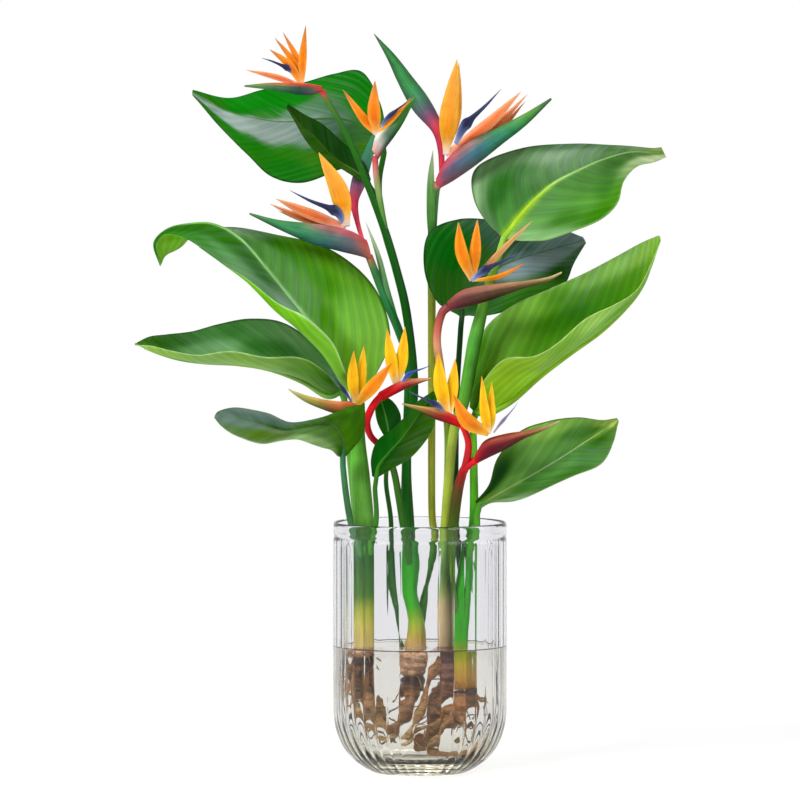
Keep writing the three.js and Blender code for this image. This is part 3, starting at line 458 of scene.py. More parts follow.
def turned(name, slot, finish, rings, rib_shares):
    """A turned form with its axis along Z, with a share of the ribs' depth at each of its rings."""
    form = Form(name, slot, [finish])
    angles = np.arange(RIB_COUNT * 12) * 2 * math.pi / (RIB_COUNT * 12)
    flute = RIB_DEPTH * (1 - np.abs(np.cos(RIB_COUNT * angles / 2)))
    reach = rings[:, :1] - rib_shares[:, None] * flute
    height = np.broadcast_to(rings[:, 1:], reach.shape)
    skin = np.stack([reach * np.cos(angles), reach * np.sin(angles), height], axis=-1)
    form.loft(skin, (1, 1, 1), (height * MM, angles[None, :], reach * MM))
    piece = form.finished()
    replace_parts(piece, name)
    return piece


def rib_shares(rings):
    """How deep the ribs are at each ring: they fade out under the neck and in the middle of the floor,
    and are deeper round the bowl."""
    floor = np.interp(rings[:, 0], [4, 26], [0, 1])
    below = np.interp(rings[:, 1], [14, 72], [1.5, 1])
    return np.interp(rings[:, 1], [223, 236], [1, 0]) * np.where(rings[:, 1] > 2, floor * below, 1)


# Soft waves pressed into the floor's inside, in millimetres
FLOOR_WAVE = 0.35
FLOOR_WAVE_LENGTH = 9.5


def floor_waves(rings):
    """How far the inside of the floor rises and falls at each ring, which breaks up what shows there."""
    share = np.interp(rings[:, 0], [6, 14, 54, 64], [0, 1, 1, 0])
    return FLOOR_WAVE * share * np.sin(2 * math.pi * rings[:, 0] / FLOOR_WAVE_LENGTH)


INNER_RADIUS = VASE_RADIUS - WALL
INNER_WALL = [
    (4, FLOOR_THICKNESS + 0.4), (30, 12.4), (57, 17), (71, 27), (80, 46), (INNER_RADIUS, 66),
    (INNER_RADIUS, 120), (INNER_RADIUS, 180), (INNER_RADIUS, 223),
]


def vase():
    """Pressed glass: flat foot, forty round ribs up to the shoulder, a shallow neck and a plain lip."""
    foot = [(FOOT_RADIUS - 6, 1.2), (FOOT_RADIUS - 3, 0), (FOOT_RADIUS, 0)]
    bowl = [(FOOT_RADIUS, 0), (55, 4.6), (65.5, 12), (75, 22), (82.6, 37), (86.4, 56), (VASE_RADIUS, 78)]
    wall = [(VASE_RADIUS, 78), (VASE_RADIUS, 150), (VASE_RADIUS, 219), (VASE_RADIUS, 229)]
    inner_lip = LIP_RADIUS - LIP_WALL
    lip = [(VASE_RADIUS, 229), (86.7, 233.4), (LIP_RADIUS - 0.8, NECK_HEIGHT), (LIP_RADIUS - 0.1, 240.2),
           (LIP_RADIUS, 244), (LIP_RADIUS - 0.1, 248), (LIP_RADIUS - 0.6, 250.2),
           (LIP_RADIUS - 1.3, VASE_HEIGHT),
           (inner_lip + 0.3, 250), (inner_lip, 247), (inner_lip, 242), (inner_lip - 0.5, NECK_HEIGHT),
           (inner_lip - 0.7, 232), (INNER_RADIUS, 223)]
    stretches = [(foot, 5), (bowl, 44), (wall, 8), (lip, 50), (INNER_WALL[::-1], 92)]
    rings = np.concatenate([
        smooth(stations, np.linspace(0, 1, steps, endpoint=False)) for stations, steps in stretches])
    shares = rib_shares(rings)
    inside = slice(-stretches[-1][1], None)
    shares[inside] *= INNER_RIBS
    rings[inside, 1] += floor_waves(rings[inside])
    turned("vase", "glass", pressed_glass, rings, shares)


def water():
    """Water up to its level, with the thin rise where it wets the glass. It runs a little into the glass,
    so that no air shows between them."""
    wet = INNER_RADIUS + WETTING
    wall = [(r + WETTING, z - WETTING) for r, z in INNER_WALL if z < WATER_LEVEL]
    rise = [(wet, WATER_LEVEL - 4), (wet, WATER_LEVEL + RISE), (82.2, WATER_LEVEL + RISE / 2),
            (80.4, WATER_LEVEL + 0.15), (77, WATER_LEVEL), (40, WATER_LEVEL), (3, WATER_LEVEL)]
    rings = np.concatenate([
        smooth(wall, np.linspace(0, 1, 70, endpoint=False)), smooth(rise, np.linspace(0, 1, 24))])
    low = rings[:, 1] < FLOOR_RISE
    rings[low, 1] += floor_waves(rings[low])
    shares = INNER_RIBS * rib_shares(rings)
    top = rings[:, 1] > WATER_LEVEL - 2
    shares[top] *= np.interp(rings[top, 0], [74, INNER_RADIUS], [0, 1])
    turned("water", "water", clear_water, rings, shares)


# Columns over half a blade, and where a folded lip starts on it
HALF_COLUMNS = 24
FOLD_START = 0.75
# A blade's step from row to row, its thickness, and how high its pleats and ripples stand at most. The
# lengths are what a ripple, and a stray before its own factors, takes to turn by one radian. All in
# millimetres
ROW_STEP = 1.5
BLADE_THICKNESS = 0.8
BLADE_EDGE = 0.5
PLEAT = 0.07
RIPPLE = 1.2
RIPPLE_LENGTH = 15
STRAY_LENGTH = 24
# How far each of its three strays takes a side vein at most, as a share of the veins' spacing
VEIN_STRAY = 0.3
# Where the pale margin starts and how wide it fades in, as shares of the half blade
MARGIN_START = 0.962
MARGIN_FADE = 0.025

# The eleven leaves: petiole from below upward with its radii and, as stalk, its tones, then edges and
# midrib from base to tip. arch is how far each half bows, as a share of its width. Tones give a place along
# the blade, a place from one edge (-1) to the other (1), and a colour, steep is how sharply they part, and
# sheen gives the share of painted satin sheen there, pale bands mixed into the colour. The tones hold
# painted light and shade besides each leaf's own greens: the grey and blue-grey patches are painted
# reflections, and paler and darker patches are partly painted light and shade. rib and rib_width are the
# midrib's tones and half widths from base to tip, slant how far the side veins run towards the tip for each
# millimetre outwards, at the midrib and at the edge, margins the edges' tones, and fold how far edge B's
# folded lip stands off it, base to tip.
LEAVES = {
    "leaf_top_left": dict(
        arch=-0.05, radii=[3.2, 3.4, 3.2, 3.0, 2.8],
        petiole=[[-6, 10, 204], [-9, 29, 250], [-12, 40, 310], [-8, 46, 400], [-15, 48, 462],
            [-25, 48, 505], [-37, 48, 548], [-41, 48, 590], [-36, 46, 622]],
        edgeA=[[-33, 46, 637], [-40, 56, 673], [-58, 62, 704], [-86, 64, 702], [-120, 62, 693],
            [-158, 56, 686], [-192, 48, 677], [-228, 38, 685]],
        midrib=[[-36, 45, 631], [-52, 46, 645], [-75, 47, 655], [-102, 48, 656], [-136, 48, 653],
            [-168, 45, 657], [-198, 42, 665], [-228.6, 37.5, 682]],
        edgeB=[[-39.5, 44, 625], [-58, 40, 613], [-82, 38, 604], [-118, 38, 592], [-150, 38, 598],
            [-174, 38, 620], [-203, 37, 651], [-228, 37, 679]],
        upper=[(0.1, -0.3, "#237c08"), (0.22, -0.5, "#1f7e04"), (0.33, -0.6, "#1f7604"),
            (0.44, -0.4, "#4a7a4c"), (0.52, -0.2, "#5c8866"), (0.58, -0.6, "#167a02"),
            (0.66, -0.35, "#147a02"), (0.77, -0.5, "#108402"), (0.66, -0.12, "#2c7a1c"),
            (0.8, -0.12, "#1c7a0c"), (0.9, -0.4, "#2c7416"), (1, 0, "#6f8f66"), (0.24, 0.3, "#3a6e34"),
            # Painted reflection: the grey-green band along the blade, from here to the tip
            (0.38, 0.12, "#5c8468"), (0.44, 0.3, "#7e9a90"), (0.5, 0.06, "#8aa29a"),
            (0.56, 0.22, "#94a8a0"), (0.6, 0.04, "#8a9e96"), (0.64, 0.34, "#94a69e"),
            (0.7, 0.08, "#8ea29a"), (0.74, 0.26, "#9cada6"), (0.8, 0.42, "#9cb0a8"),
            (0.82, 0.12, "#9cb0a8"), (0.9, 0.3, "#8aa096"), (0.9, 0.75, "#2a7410"),
            (0.8, 0.66, "#237804"), (0.7, 0.56, "#237804"), (0.62, 0.56, "#2a7c08"),
            (0.52, 0.5, "#2f7c0c"), (0.5, 0.75, "#217604"), (0.42, 0.55, "#3a7a1c"),
            (0.3, 0.7, "#2f7212"), (0.14, 0.5, "#3f7424")],
        sheen=[(0.44, -0.4, 0.7), (0.52, -0.2, 0.8), (0.56, 0.2, 1), (0.75, 0.25, 1), (0.9, 0.3, 0.8),
            (0.7, -0.5, 0), (0.55, -0.6, 0), (0.55, 0.6, 0), (0.75, 0.7, 0), (0.2, -0.4, 0),
            (0.3, 0.6, 0), (0.8, -0.15, 0)],
        under=[(0.5, 0, "#4f8a3a")], rib=[(0, "#3c7c28"), (0.4, "#3c7028"), (1, "#4a8040")],
        rib_width=[0.8, 0.3, 0.3], slant=(2.0, 3.6), steep=4.0, margins=("#1a5208", "#143c06"),
        stalk=[(0, "#3a7a22"), (1, "#2c6a1c")],
    ),
    "leaf_narrow": dict(
        arch=-0.06, radii=[2.2, 2.2], petiole=[[-40, 5, 566], [-47, 10, 583]],
        edgeA=[[-49, 14, 594], [-56, 16, 611], [-78, 18, 632], [-98, 18, 650], [-115, 18, 659],
            [-132, 18, 670]],
        midrib=[[-51, 13, 590], [-64, 13, 602], [-85, 14, 615], [-104, 15, 635], [-118, 16, 649],
            [-133, 17, 668]],
        edgeB=[[-53, 11, 587], [-68, 10, 597], [-90, 11, 612], [-109, 12, 627], [-122, 14, 645],
            [-133.5, 16, 666]],
        upper=[(0.05, 0, "#1c3e0a"), (0.3, -0.5, "#1f4208"), (0.3, 0.5, "#38601c"),
            (0.6, -0.5, "#22460a"), (0.6, 0.5, "#2c5416"), (0.8, -0.5, "#2a4c10"), (0.85, 0.5, "#385a22"),
            (1, 0, "#2a4414")],
        under=[(0.5, 0, "#3a6a22")], rib=[(0, "#5a7436"), (0.4, "#3c5a20"), (1, "#26460e")],
        rib_width=[0.9, 0.6, 0.4], slant=(0.9, 0.9), margins=("#142e06", "#28440f"),
        stalk=[(0, "#2c5a1a"), (1, "#2c5a1a")],
    ),
    "leaf_left_large": dict(
        arch=-0.05, radii=[11, 11, 11.3, 10.8, 9.5, 7.2, 5],
        petiole=[[-56, 4, SHEATH_FOOT], [-56, 4, 170], [-56, 5, 215], [-57, 6, 255], [-60, 5, 300],
            [-62, 4, 335], [-60, 3, 368]],
        edgeA=[[-52, 6, 384], [-32, 10, 423], [-31, 14, 448], [-42, 16, 480], [-63, 16, 506],
            [-95, 14, 526], [-138, 10, 538], [-182, 6, 546], [-220, 10, 541], [-239, 6, 526],
            [-254, -2, 518], [-259, -10, 507]],
        midrib=[[-61, 2, 379], [-75, -4, 395], [-89, -8, 423], [-108, -10, 448], [-128, -12, 473],
            [-152, -14, 503], [-178, -14, 533], [-206, -12, 549], [-234, -11, 549], [-254, -11, 543],
            [-266, -11, 529], [-259.5, -10.5, 507.5]],
        edgeB=[[-69, -3, 378], [-82, -24, 395], [-99, -46, 421], [-122, -60, 444], [-145, -62, 462],
            [-175, -58, 493], [-205, -46, 515], [-228, -30, 531], [-242, -21, 537], [-255, -16, 538],
            [-263, -13, 527], [-259, -11, 507]],
        upper=[(0.1, -0.5, "#78b038"), (0.16, -0.8, "#7cbc44"), (0.16, -0.3, "#5c9818"),
            (0.25, -0.6, "#74b444"), (0.27, -0.25, "#3f7e06"), (0.35, -0.85, "#5f9c2c"),
            (0.37, -0.55, "#40860a"), (0.36, -0.2, "#5c9446"), (0.47, -0.8, "#529416"),
            (0.21, -0.42, "#80c448"), (0.47, -0.3, "#568e44"), (0.55, -0.6, "#2f6a10"),
            (0.6, -0.75, "#205408"), (0.6, -0.2, "#34701e"), (0.67, -0.6, "#1c5008"),
            (0.75, -0.3, "#2a6220"), (0.85, 0.4, "#2c6c1c"), (0.9, -0.3, "#2a6c1c"),
            (0.34, 0.3, "#8cb090"), (0.4, 0.55, "#5f9160"), (0.46, 0.25, "#2c661e"),
            (0.52, 0.6, "#579350"), (0.6, 0.3, "#2f6e18"), (0.62, 0.8, "#34801e"), (0.74, 0.4, "#2f6c1c")],
        sheen=[(0.36, 0.3, 0.8), (0.48, 0.5, 0.3), (0.4, -0.15, 0.4), (0.3, -0.5, 0.2), (0.6, -0.5, 0.05),
            (0.75, -0.3, 0), (0.7, 0.4, 0.05)],
        under=[(0.1, 0.6, "#86cc3a"), (0.25, 0.7, "#78be30"), (0.42, 0.9, "#6ab01c"),
            # Painted light: the tip's underside is made bright, for the light that shines through it
            (0.8, -0.4, "#74b828"), (0.9, -0.5, "#94d444"), (0.98, 0, "#a4dc60")],
        rib=[(0, "#a0d868"), (0.3, "#a6d89c"), (0.5, "#9cd484"), (0.65, "#7cb858"), (0.8, "#3f8028")],
        rib_width=[3.0, 2.8, 2.2, 1.6, 1.2, 0.8, 0.5], slant=(1.0, 2.4), margins=("#2a5a10", "#b4dc8c"),
        fold=[[5, -4, 3], [9, -7, 5], [14, -9, 8], [11, -7, 9], [4, -3, 4], [0, 0, 0], [0, 0, 0],
            [0, 0, 0], [0, 0, 0], [0, 0, 0], [0, 0, 0]],
        stalk=[(0, "#b09a5c"), (0.07, "#a89c48"), (0.14, "#8c9430"), (0.19, "#3c6414"), (0.33, "#245c0c"),
            (0.44, "#3a7c1c"), (0.5, "#74b84a"), (0.75, "#62ae3c"), (1, "#4f9a26")],
    ),
    "leaf_left_folded": dict(
        arch=-0.1, radii=[3.8, 3.8, 3.6, 3.4],
        petiole=[[-57, 6, 205], [-64, 24, 255], [-69, 30, 305], [-73, 30, 345], [-76, 27, 375]],
        edgeA=[[-72, 32, 390], [-100, 42, 424], [-135, 50, 450], [-170, 52, 455], [-202, 50, 450],
            [-230, 46, 442], [-255, 40, 439], [-271, 36, 437], [-286, 31, 430]],
        midrib=[[-78, 26, 383], [-93, 26, 379], [-117, 28, 393], [-150, 30, 405], [-183, 31, 410],
            [-215, 32, 411], [-242, 32, 414], [-267, 32, 421], [-286.4, 30.5, 430]],
        edgeB=[[-85, 20, 388], [-96, 8, 402], [-120, -2, 415], [-155, -10, 417], [-188, -6, 421],
            [-220, 6, 418], [-248, 18, 423], [-269, 26, 427], [-286, 30, 428]],
        # Painted sheen: the paler grey-green tones near edge A
        upper=[(0.12, -0.75, "#5f9050"), (0.25, -0.85, "#76a46c"), (0.28, -0.55, "#36702a"),
            (0.36, -0.8, "#5f9456"), (0.4, -0.5, "#2f6c22"), (0.46, -0.8, "#3f7a34"),
            (0.5, -0.5, "#78ac70"), (0.58, -0.85, "#407c34"), (0.62, -0.5, "#689c60"),
            (0.7, -0.7, "#3c6c2e"), (0.8, -0.6, "#33621f"), (0.92, -0.5, "#4c7c2c")],
        sheen=[(0.2, -0.7, 0.8), (0.3, -0.8, 0.6), (0.52, -0.5, 0.8), (0.4, -0.6, 0.1), (0.65, -0.5, 0.4),
            (0.85, -0.5, 0)],
        under=[(0.05, 0.5, "#4c7c1e"), (0.14, 0.6, "#447810"), (0.26, 0.6, "#5c9428"),
            (0.34, 0.7, "#7cac44"), (0.42, 0.5, "#84b24c"), (0.6, 0.5, "#80ae4e"), (0.8, 0.5, "#86b446"),
            (0.97, 0.5, "#9cc05c")],
        rib=[(0, "#7cae44"), (0.25, "#98bc68"), (1, "#8ab44c")], rib_width=[1.6, 1.0, 0.6],
        slant=(1.0, 1.4), margins=("#24501a", "#bcdc90"), stalk=[(0, "#5fa03a"), (1, "#5fa03a")],
    ),
    "leaf_left_low": dict(
        arch=0.06, radii=[3.3, 3.3, 3.2, 3.0],
        petiole=[[-58, 2, 205], [-69, -11, 250], [-74, -14, 280], [-77, -13, 307]],
        edgeA=[[-71, -11, 320], [-58, -22, 339], [-55, -38, 365], [-70, -42, 367], [-98, -52, 355],
            [-128, -60, 350], [-152, -60, 361], [-180, -66, 366], [-198, -74, 362], [-203, -82, 357]],
        midrib=[[-77, -13, 316], [-77, -24, 333], [-86, -42, 348], [-98, -54, 349], [-114, -63, 346],
            [-135, -70, 343], [-158, -76, 349], [-183, -80, 355], [-198, -82, 357], [-203.4, -83, 356]],
        edgeB=[[-83, -16, 318], [-88, -38, 323], [-98, -62, 327], [-110, -78, 331], [-122, -86, 335],
            [-136, -92, 335], [-158, -98, 331], [-182, -94, 338], [-196, -88, 347], [-203, -84, 355]],
        upper=[(0.05, -0.3, "#4c8020"), (0.05, 0.4, "#2a5a0a"), (0.15, -0.4, "#447a10"),
            (0.17, 0.35, "#52802c"), (0.25, -0.5, "#38660a"), (0.27, 0.5, "#587e40"),
            (0.36, 0, "#466a36"), (0.43, 0.5, "#50783a"), (0.46, -0.2, "#3c6020"), (0.55, 0, "#2c5008"),
            (0.56, 0.6, "#48641c"), (0.28, 0.9, "#86ac68"), (0.38, 0.9, "#8cb070"),
            # Painted reflection: the grey-green tones toward the tip
            (0.65, -0.4, "#4c665c"), (0.66, 0.5, "#4c7018"), (0.75, -0.4, "#486254"),
            (0.76, 0.3, "#5f766c"), (0.86, 0, "#5a7064"), (0.96, 0, "#66786e")],
        sheen=[(0.2, 0.2, 0), (0.43, 0.5, 0.15), (0.66, -0.2, 0.4), (0.85, 0.2, 0.4), (0.1, -0.4, 0)],
        under=[(0.3, 0, "#5a9a34"), (0.8, 0, "#4f8a44")],
        rib=[(0, "#5c8c34"), (0.5, "#4a7434"), (1, "#5c7466")], rib_width=[1.2, 0.7, 0.5], slant=(1.0, 1.4),
        margins=("#30502a", "#8fa47c"), stalk=[(0, "#4f8a4a"), (1, "#3f7f55")],
    ),
    "leaf_centre_small": dict(
        arch=0.06, radii=[2.6, 2.6, 2.4], petiole=[[-54, 0, 212], [-44, -16, 250], [-45, -20, 286]],
        edgeA=[[-48, -21, 298], [-49, -27, 315], [-43, -35, 333], [-29, -38, 344], [-16, -40, 355],
            [-4, -40, 370], [13, -38, 382]],
        midrib=[[-44, -21, 295], [-40, -28, 309], [-29, -34, 323], [-17, -38, 336], [-5, -40, 353],
            [5, -40, 368], [15, -38, 380.5]],
        edgeB=[[-40, -20, 298], [-27, -22, 306], [-9, -26, 316], [5, -30, 331], [13, -33, 345],
            [16, -36, 360], [17, -38, 379]],
        upper=[(0.05, -0.5, "#0e5006"), (0.06, 0.5, "#2c600e"), (0.2, -0.4, "#125c04"),
            (0.25, 0.05, "#1c5c08"), (0.25, 0.5, "#2e6018"), (0.4, -0.3, "#1e5808"),
            (0.42, 0.6, "#3a6822"), (0.55, 0, "#326018"), (0.7, -0.3, "#2c5e12"), (0.7, 0.5, "#38681a"),
            (0.9, 0, "#2a5a18")],
        sheen=[(0.45, 0.6, 0.4), (0.3, -0.5, 0), (0.2, -0.1, 0), (0.8, 0, 0.05)],
        under=[(0.5, 0, "#3f8a2a")], rib=[(0, "#34701c"), (1, "#306418")], rib_width=[0.8, 0.5],
        slant=(1.0, 1.2), margins=("#123c08", "#5c8c3c"), stalk=[(0, "#4a9030"), (1, "#3a7a24")],
    ),
    "leaf_behind": dict(
        arch=-0.05, radii=[3.0, 3.0, 2.9, 2.8],
        petiole=[[44, 3, 195], [36, 22, 250], [36, 28, 310], [37, 27, 377], [41, 24, 446]],
        edgeA=[[39, 23, 458], [17, 24, 472], [4, 26, 505], [9, 30, 541], [40, 32, 555], [80, 36, 554],
            [125, 38, 551], [164, 42, 537]],
        midrib=[[42, 24, 456], [45, 28, 473], [55, 36, 488], [70, 40, 501], [90, 42, 511], [115, 43, 520],
            [140, 43, 527], [166, 42.5, 534]],
        edgeB=[[46, 23, 458], [62, 24, 457], [85, 26, 462], [110, 28, 474], [130, 30, 483],
            [146, 33, 490], [155, 36, 511], [167, 42, 531]],
        upper=[(0.1, -0.3, "#2c5a10"), (0.25, -0.6, "#2a5c0a"), (0.4, -0.6, "#106406"),
            (0.3, 0.4, "#24541c"), (0.45, 0.85, "#34701a"), (0.5, -0.2, "#2c6412"),
            # Painted reflection: the blue-grey tones over the blade's outer part
            (0.55, 0.2, "#80909a"), (0.62, 0.8, "#3c7020"), (0.68, 0.28, "#80909a"),
            (0.72, 0.7, "#224e10"), (0.68, -0.35, "#3c5c48"), (0.8, -0.35, "#5c7474"),
            (0.92, -0.5, "#64787a"), (0.84, 0.35, "#6c7c82"), (0.86, 0.85, "#3a5c38"),
            (0.97, 0.3, "#808e92")],
        sheen=[(0.6, 0.25, 1), (0.8, 0.35, 0.8), (0.82, -0.35, 0.9), (0.95, 0.3, 0.8), (0.4, -0.5, 0),
            (0.7, 0.8, 0.05), (0.2, 0.2, 0)],
        under=[(0.5, 0, "#2f6a2a")], rib=[(0, "#2f6a1c"), (1, "#4c6a50")], rib_width=[0.8, 0.6],
        slant=(1.6, 2.6), margins=("#143a0a", "#1c3c14"),
        stalk=[(0, "#1f5412"), (0.4, "#12400c"), (1, "#103c0c")],
    ),
    "leaf_top_right": dict(
        # Its petiole carries stronger painted side light and shade
        arch=0.05, painted_light=0.5, radii=[7.5, 7.3, 6.8, 5, 4.9, 6.2, 7.2, 4.8, 3.6],
        petiole=[[24, 2, SHEATH_FOOT], [24, 2, 178], [25, 0, 215], [26, -2, 253], [33, -3, 336],
            [44, -5, 373], [55, -6, 433], [68, -5, 484], [80, -3, 522]],
        edgeA=[[80, 1, 538], [67, 10, 551], [54, 26, 575], [53, 38, 600], [70, 40, 615], [110, 36, 628],
            [155, 30, 631], [195, 18, 628], [228, 10, 625], [241, 5, 626]],
        midrib=[[83, -2, 533], [89, 0, 543], [101, 3, 559], [117, 6, 576], [135, 8, 591], [158, 10, 603],
            [183, 10, 614], [208, 8, 621], [228, 5, 621], [244, 4, 620]],
        edgeB=[[88, -4, 534], [105, -8, 532], [127, -13, 532], [155, -18, 542], [180, -20, 554],
            [197, -18, 570], [204, -10, 591], [217, -2, 607], [235, 1, 612], [246, 3, 616]],
        upper=[(0.14, -0.8, "#547c4c"), (0.26, -0.97, "#8cb07e"), (0.36, -0.97, "#6c9860"),
            (0.25, -0.6, "#2f6828"), (0.18, -0.38, "#4f8c40"), (0.36, -0.6, "#2c6820"),
            (0.33, -0.2, "#44783a"), (0.45, -0.6, "#3f7038"), (0.45, -0.25, "#58824e"),
            # Painted sheen: the pale grey-green tones on edge A's half
            (0.56, -0.6, "#84a27c"), (0.56, -0.25, "#648c5c"), (0.65, -0.9, "#446840"),
            (0.66, -0.5, "#66885e"), (0.76, -0.5, "#3e6c34"), (0.86, -0.5, "#68865c"),
            (0.97, -0.6, "#7c9424"), (0.12, 0.5, "#86b676"), (0.22, 0.9, "#88b874"),
            (0.22, 0.4, "#639a4c"), (0.36, 0.3, "#568c46"), (0.36, 0.65, "#3c7822"),
            (0.46, 0.3, "#548a3e"), (0.46, 0.6, "#5c9c3e"), (0.46, 0.9, "#3a8010"),
            (0.56, 0.25, "#487a34"), (0.57, 0.6, "#3a7426"), (0.6, 0.9, "#4a8a22"),
            (0.68, 0.3, "#3a662a"), (0.8, 0.1, "#40682c"), (0.76, 0.85, "#8cac6c"),
            (0.86, 0.75, "#b0c498"), (0.95, 0.6, "#a4b47c"), (0.9, 0.1, "#5c7c34")],
        sheen=[(0.56, -0.6, 1), (0.45, -0.7, 0.4), (0.68, -0.5, 0.7), (0.3, -0.6, 0), (0.15, 0.6, 0.6),
            (0.35, 0.5, 0.1), (0.5, 0.5, 0.1), (0.5, 0.95, 0), (0.8, 0, 0.2), (0.36, -0.2, 0)],
        under=[(0.5, 0, "#8cb064"), (0.95, 0.4, "#9cb878")],
        rib=[(0, "#a4c42c"), (0.2, "#9ccc20"), (0.35, "#a0cc3c"), (0.5, "#96c470"), (0.7, "#7ca468"),
            (1, "#6c8c58")],
        rib_width=[6.5, 5.4, 4.0, 2.4, 1.5, 1.1, 0.8, 0.6], slant=(0.5, 2.0),
        margins=("#38582e", "#7ca45c"),
        stalk=[(0, "#a08868"), (0.1, "#b09c74"), (0.13, "#7c8c4c"), (0.2, "#52783c"), (0.3, "#6a9440"),
            (0.375, "#98a83a"), (0.5, "#a0b448"), (0.6, "#5c9c34"), (0.75, "#4f9a3a"), (1, "#8ec43c")],
    ),
    "leaf_right_large": dict(
        arch=0.06, radii=[9.5, 9.2, 9.0, 7.0, 4.8, 4.2, 3.8],
        petiole=[[42, -2, RIGHT_SHEATH_FOOT], [42, -2, 125], [46, 0, 180], [49, 3, 218], [54, 7, 252],
            [54, 8, 305], [53, 7, 352]],
        edgeA=[[49.5, 8, 366], [52, 12, 387], [57, 16, 421], [67, 18, 447], [95, 18, 469], [130, 17, 485],
            [165, 14, 500], [195, 10, 516], [220, 6, 530], [239, 3, 538]],
        midrib=[[54, 6, 361], [70, 0, 363], [92, -4, 375], [119, -6, 398], [150, -8, 421], [180, -8, 442],
            [205, -7, 465], [221, -5, 485], [231, -2, 507], [240, 2, 535]],
        edgeB=[[59, 4, 367], [64, -16, 392], [83, -34, 413], [112, -46, 416], [138, -50, 432],
            [165, -46, 453], [192, -38, 468], [214, -26, 482], [227, -12, 500], [240.5, 1, 532]],
        upper=[(0.12, -0.7, "#44780c"), (0.2, -0.4, "#3c6e08"), (0.25, -0.9, "#4c8c14"),
            (0.26, -0.6, "#78b434"), (0.35, -0.9, "#64a036"), (0.36, -0.6, "#74b438"),
            (0.4, -0.4, "#4c8a10"), (0.44, -0.88, "#94d450"), (0.47, -0.5, "#3c8208"),
            (0.56, -0.8, "#4c8820"), (0.6, -0.62, "#407812"), (0.57, -0.5, "#347a06"),
            (0.66, -0.85, "#78ac48"), (0.67, -0.4, "#42820c"), (0.76, -0.85, "#8cc05c"),
            (0.77, -0.4, "#4c8a08"), (0.87, -0.6, "#80b040"), (0.96, -0.4, "#7cb034")],
        sheen=[(0.35, -0.8, 0.3), (0.48, -0.85, 0.1), (0.7, -0.85, 0.7), (0.5, -0.45, 0), (0.7, -0.35, 0),
            (0.9, -0.6, 0.5), (0.2, -0.5, 0), (0.5, 0.5, 0.1)],
        under=[(0.1, 0.5, "#94c828"), (0.25, 0.4, "#a4dc30"), (0.3, 0.8, "#98c836"),
            (0.4, 0.4, "#74a818"), (0.46, 0.7, "#6aa416"), (0.56, 0.7, "#9cca60"),
            (0.56, 0.25, "#70aa2c"), (0.66, 0.5, "#569608"), (0.78, 0.5, "#68a41a"),
            (0.92, 0.5, "#90b866")],
        rib=[(0, "#8cb82c"), (1, "#8cb848")], rib_width=[2, 1.4, 0.8], slant=(1.5, 2.2),
        margins=("#86b060", "#bcdc84"),
        stalk=[(0, "#8a5a2c"), (0.05, "#a8803c"), (0.1, "#a89434"), (0.16, "#6c8814"), (0.2, "#328c08"),
            (0.5, "#229000"), (0.66, "#4aa424"), (1, "#6ab02c")],
    ),
    "leaf_right_low": dict(
        arch=0.05, radii=[3.2, 3.2, 3.1], petiole=[[47, -4, 205], [56, -17, 240], [57, -18, 260]],
        edgeA=[[55, -16, 272], [69, -12, 289], [78, -4, 315], [100, 0, 342], [128, -2, 352],
            [158, -12, 355], [180, -27, 353], [195, -41, 355]],
        midrib=[[58, -18, 269], [71, -21, 276], [92, -26, 288], [115, -30, 301], [140, -34, 316],
            [163, -37, 331], [182, -39, 343], [197, -42, 353]],
        edgeB=[[61, -21, 266], [73, -31, 272], [95, -49, 276], [122, -60, 286], [155, -62, 300],
            [180, -54, 312], [192, -47, 333], [197, -43, 351]],
        upper=[(0.06, -0.3, "#5c8c2c"), (0.15, -0.6, "#1c3e10"), (0.16, 0.3, "#74964a"),
            (0.26, -0.6, "#143a04"), (0.28, -0.15, "#70a84c"), (0.28, 0.5, "#3c6e22"),
            (0.25, 0.9, "#7a9c6c"), (0.36, -0.4, "#4c7a36"), (0.38, 0.4, "#407c28"),
            (0.46, -0.4, "#629446"), (0.48, 0.3, "#4e883a"), (0.5, 0.8, "#40762a"),
            (0.57, -0.8, "#78a24a"), (0.57, -0.3, "#558840"), (0.58, 0.3, "#5a8e48"),
            (0.67, -0.5, "#3e6e2a"), (0.68, 0.4, "#44783a"), (0.77, -0.4, "#386620"),
            (0.78, 0.3, "#30640e"), (0.87, 0, "#54862a"), (0.92, -0.5, "#7c9440"), (0.97, 0, "#bccc6c")],
        sheen=[(0.5, -0.3, 0.25), (0.25, 0.8, 0.6), (0.6, 0.4, 0.3), (0.25, -0.6, 0), (0.8, 0, 0.1)],
        under=[(0.5, 0, "#6fae4a")], rib=[(0, "#8cb05c"), (0.5, "#8cb47c"), (1, "#8cac54")],
        rib_width=[1.6, 1.1, 0.7, 0.4], slant=(1.2, 1.6), margins=("#2c4c18", "#7c9c64"),
        stalk=[(0, "#3f8a24"), (1, "#4f9a2c")],
    ),
    "leaf_back_small": dict(
        arch=0.05, radii=[2.4, 2.4, 2.2],
        petiole=[[-16, 8, 119], [-24, 9, 155], [-29, 12, 200], [-29, 16, 250], [-34, 17, 290],
            [-31, 19, 320]],
        edgeA=[[-33, 20, 331], [-42, 22, 348], [-45, 24, 363], [-43, 25, 373], [-42, 25, 380]],
        midrib=[[-30, 20, 329], [-32, 20, 345], [-35, 22, 359], [-38, 24, 369], [-40.5, 25, 380]],
        edgeB=[[-27, 19, 331], [-21, 18, 343], [-20, 19, 358], [-27, 22, 371], [-39, 25, 379.5]],
        upper=[(0.5, -0.5, "#246012"), (0.5, 0.5, "#1c5410")], under=[(0.5, 0, "#3f8a2a")],
        rib=[(0, "#4f8a34"), (1, "#4f8a34")],
        stalk=[(0, "#6a7a3c"), (0.15, "#2f5a2a"), (0.6, "#24601c"), (1, "#2c6a1c")],
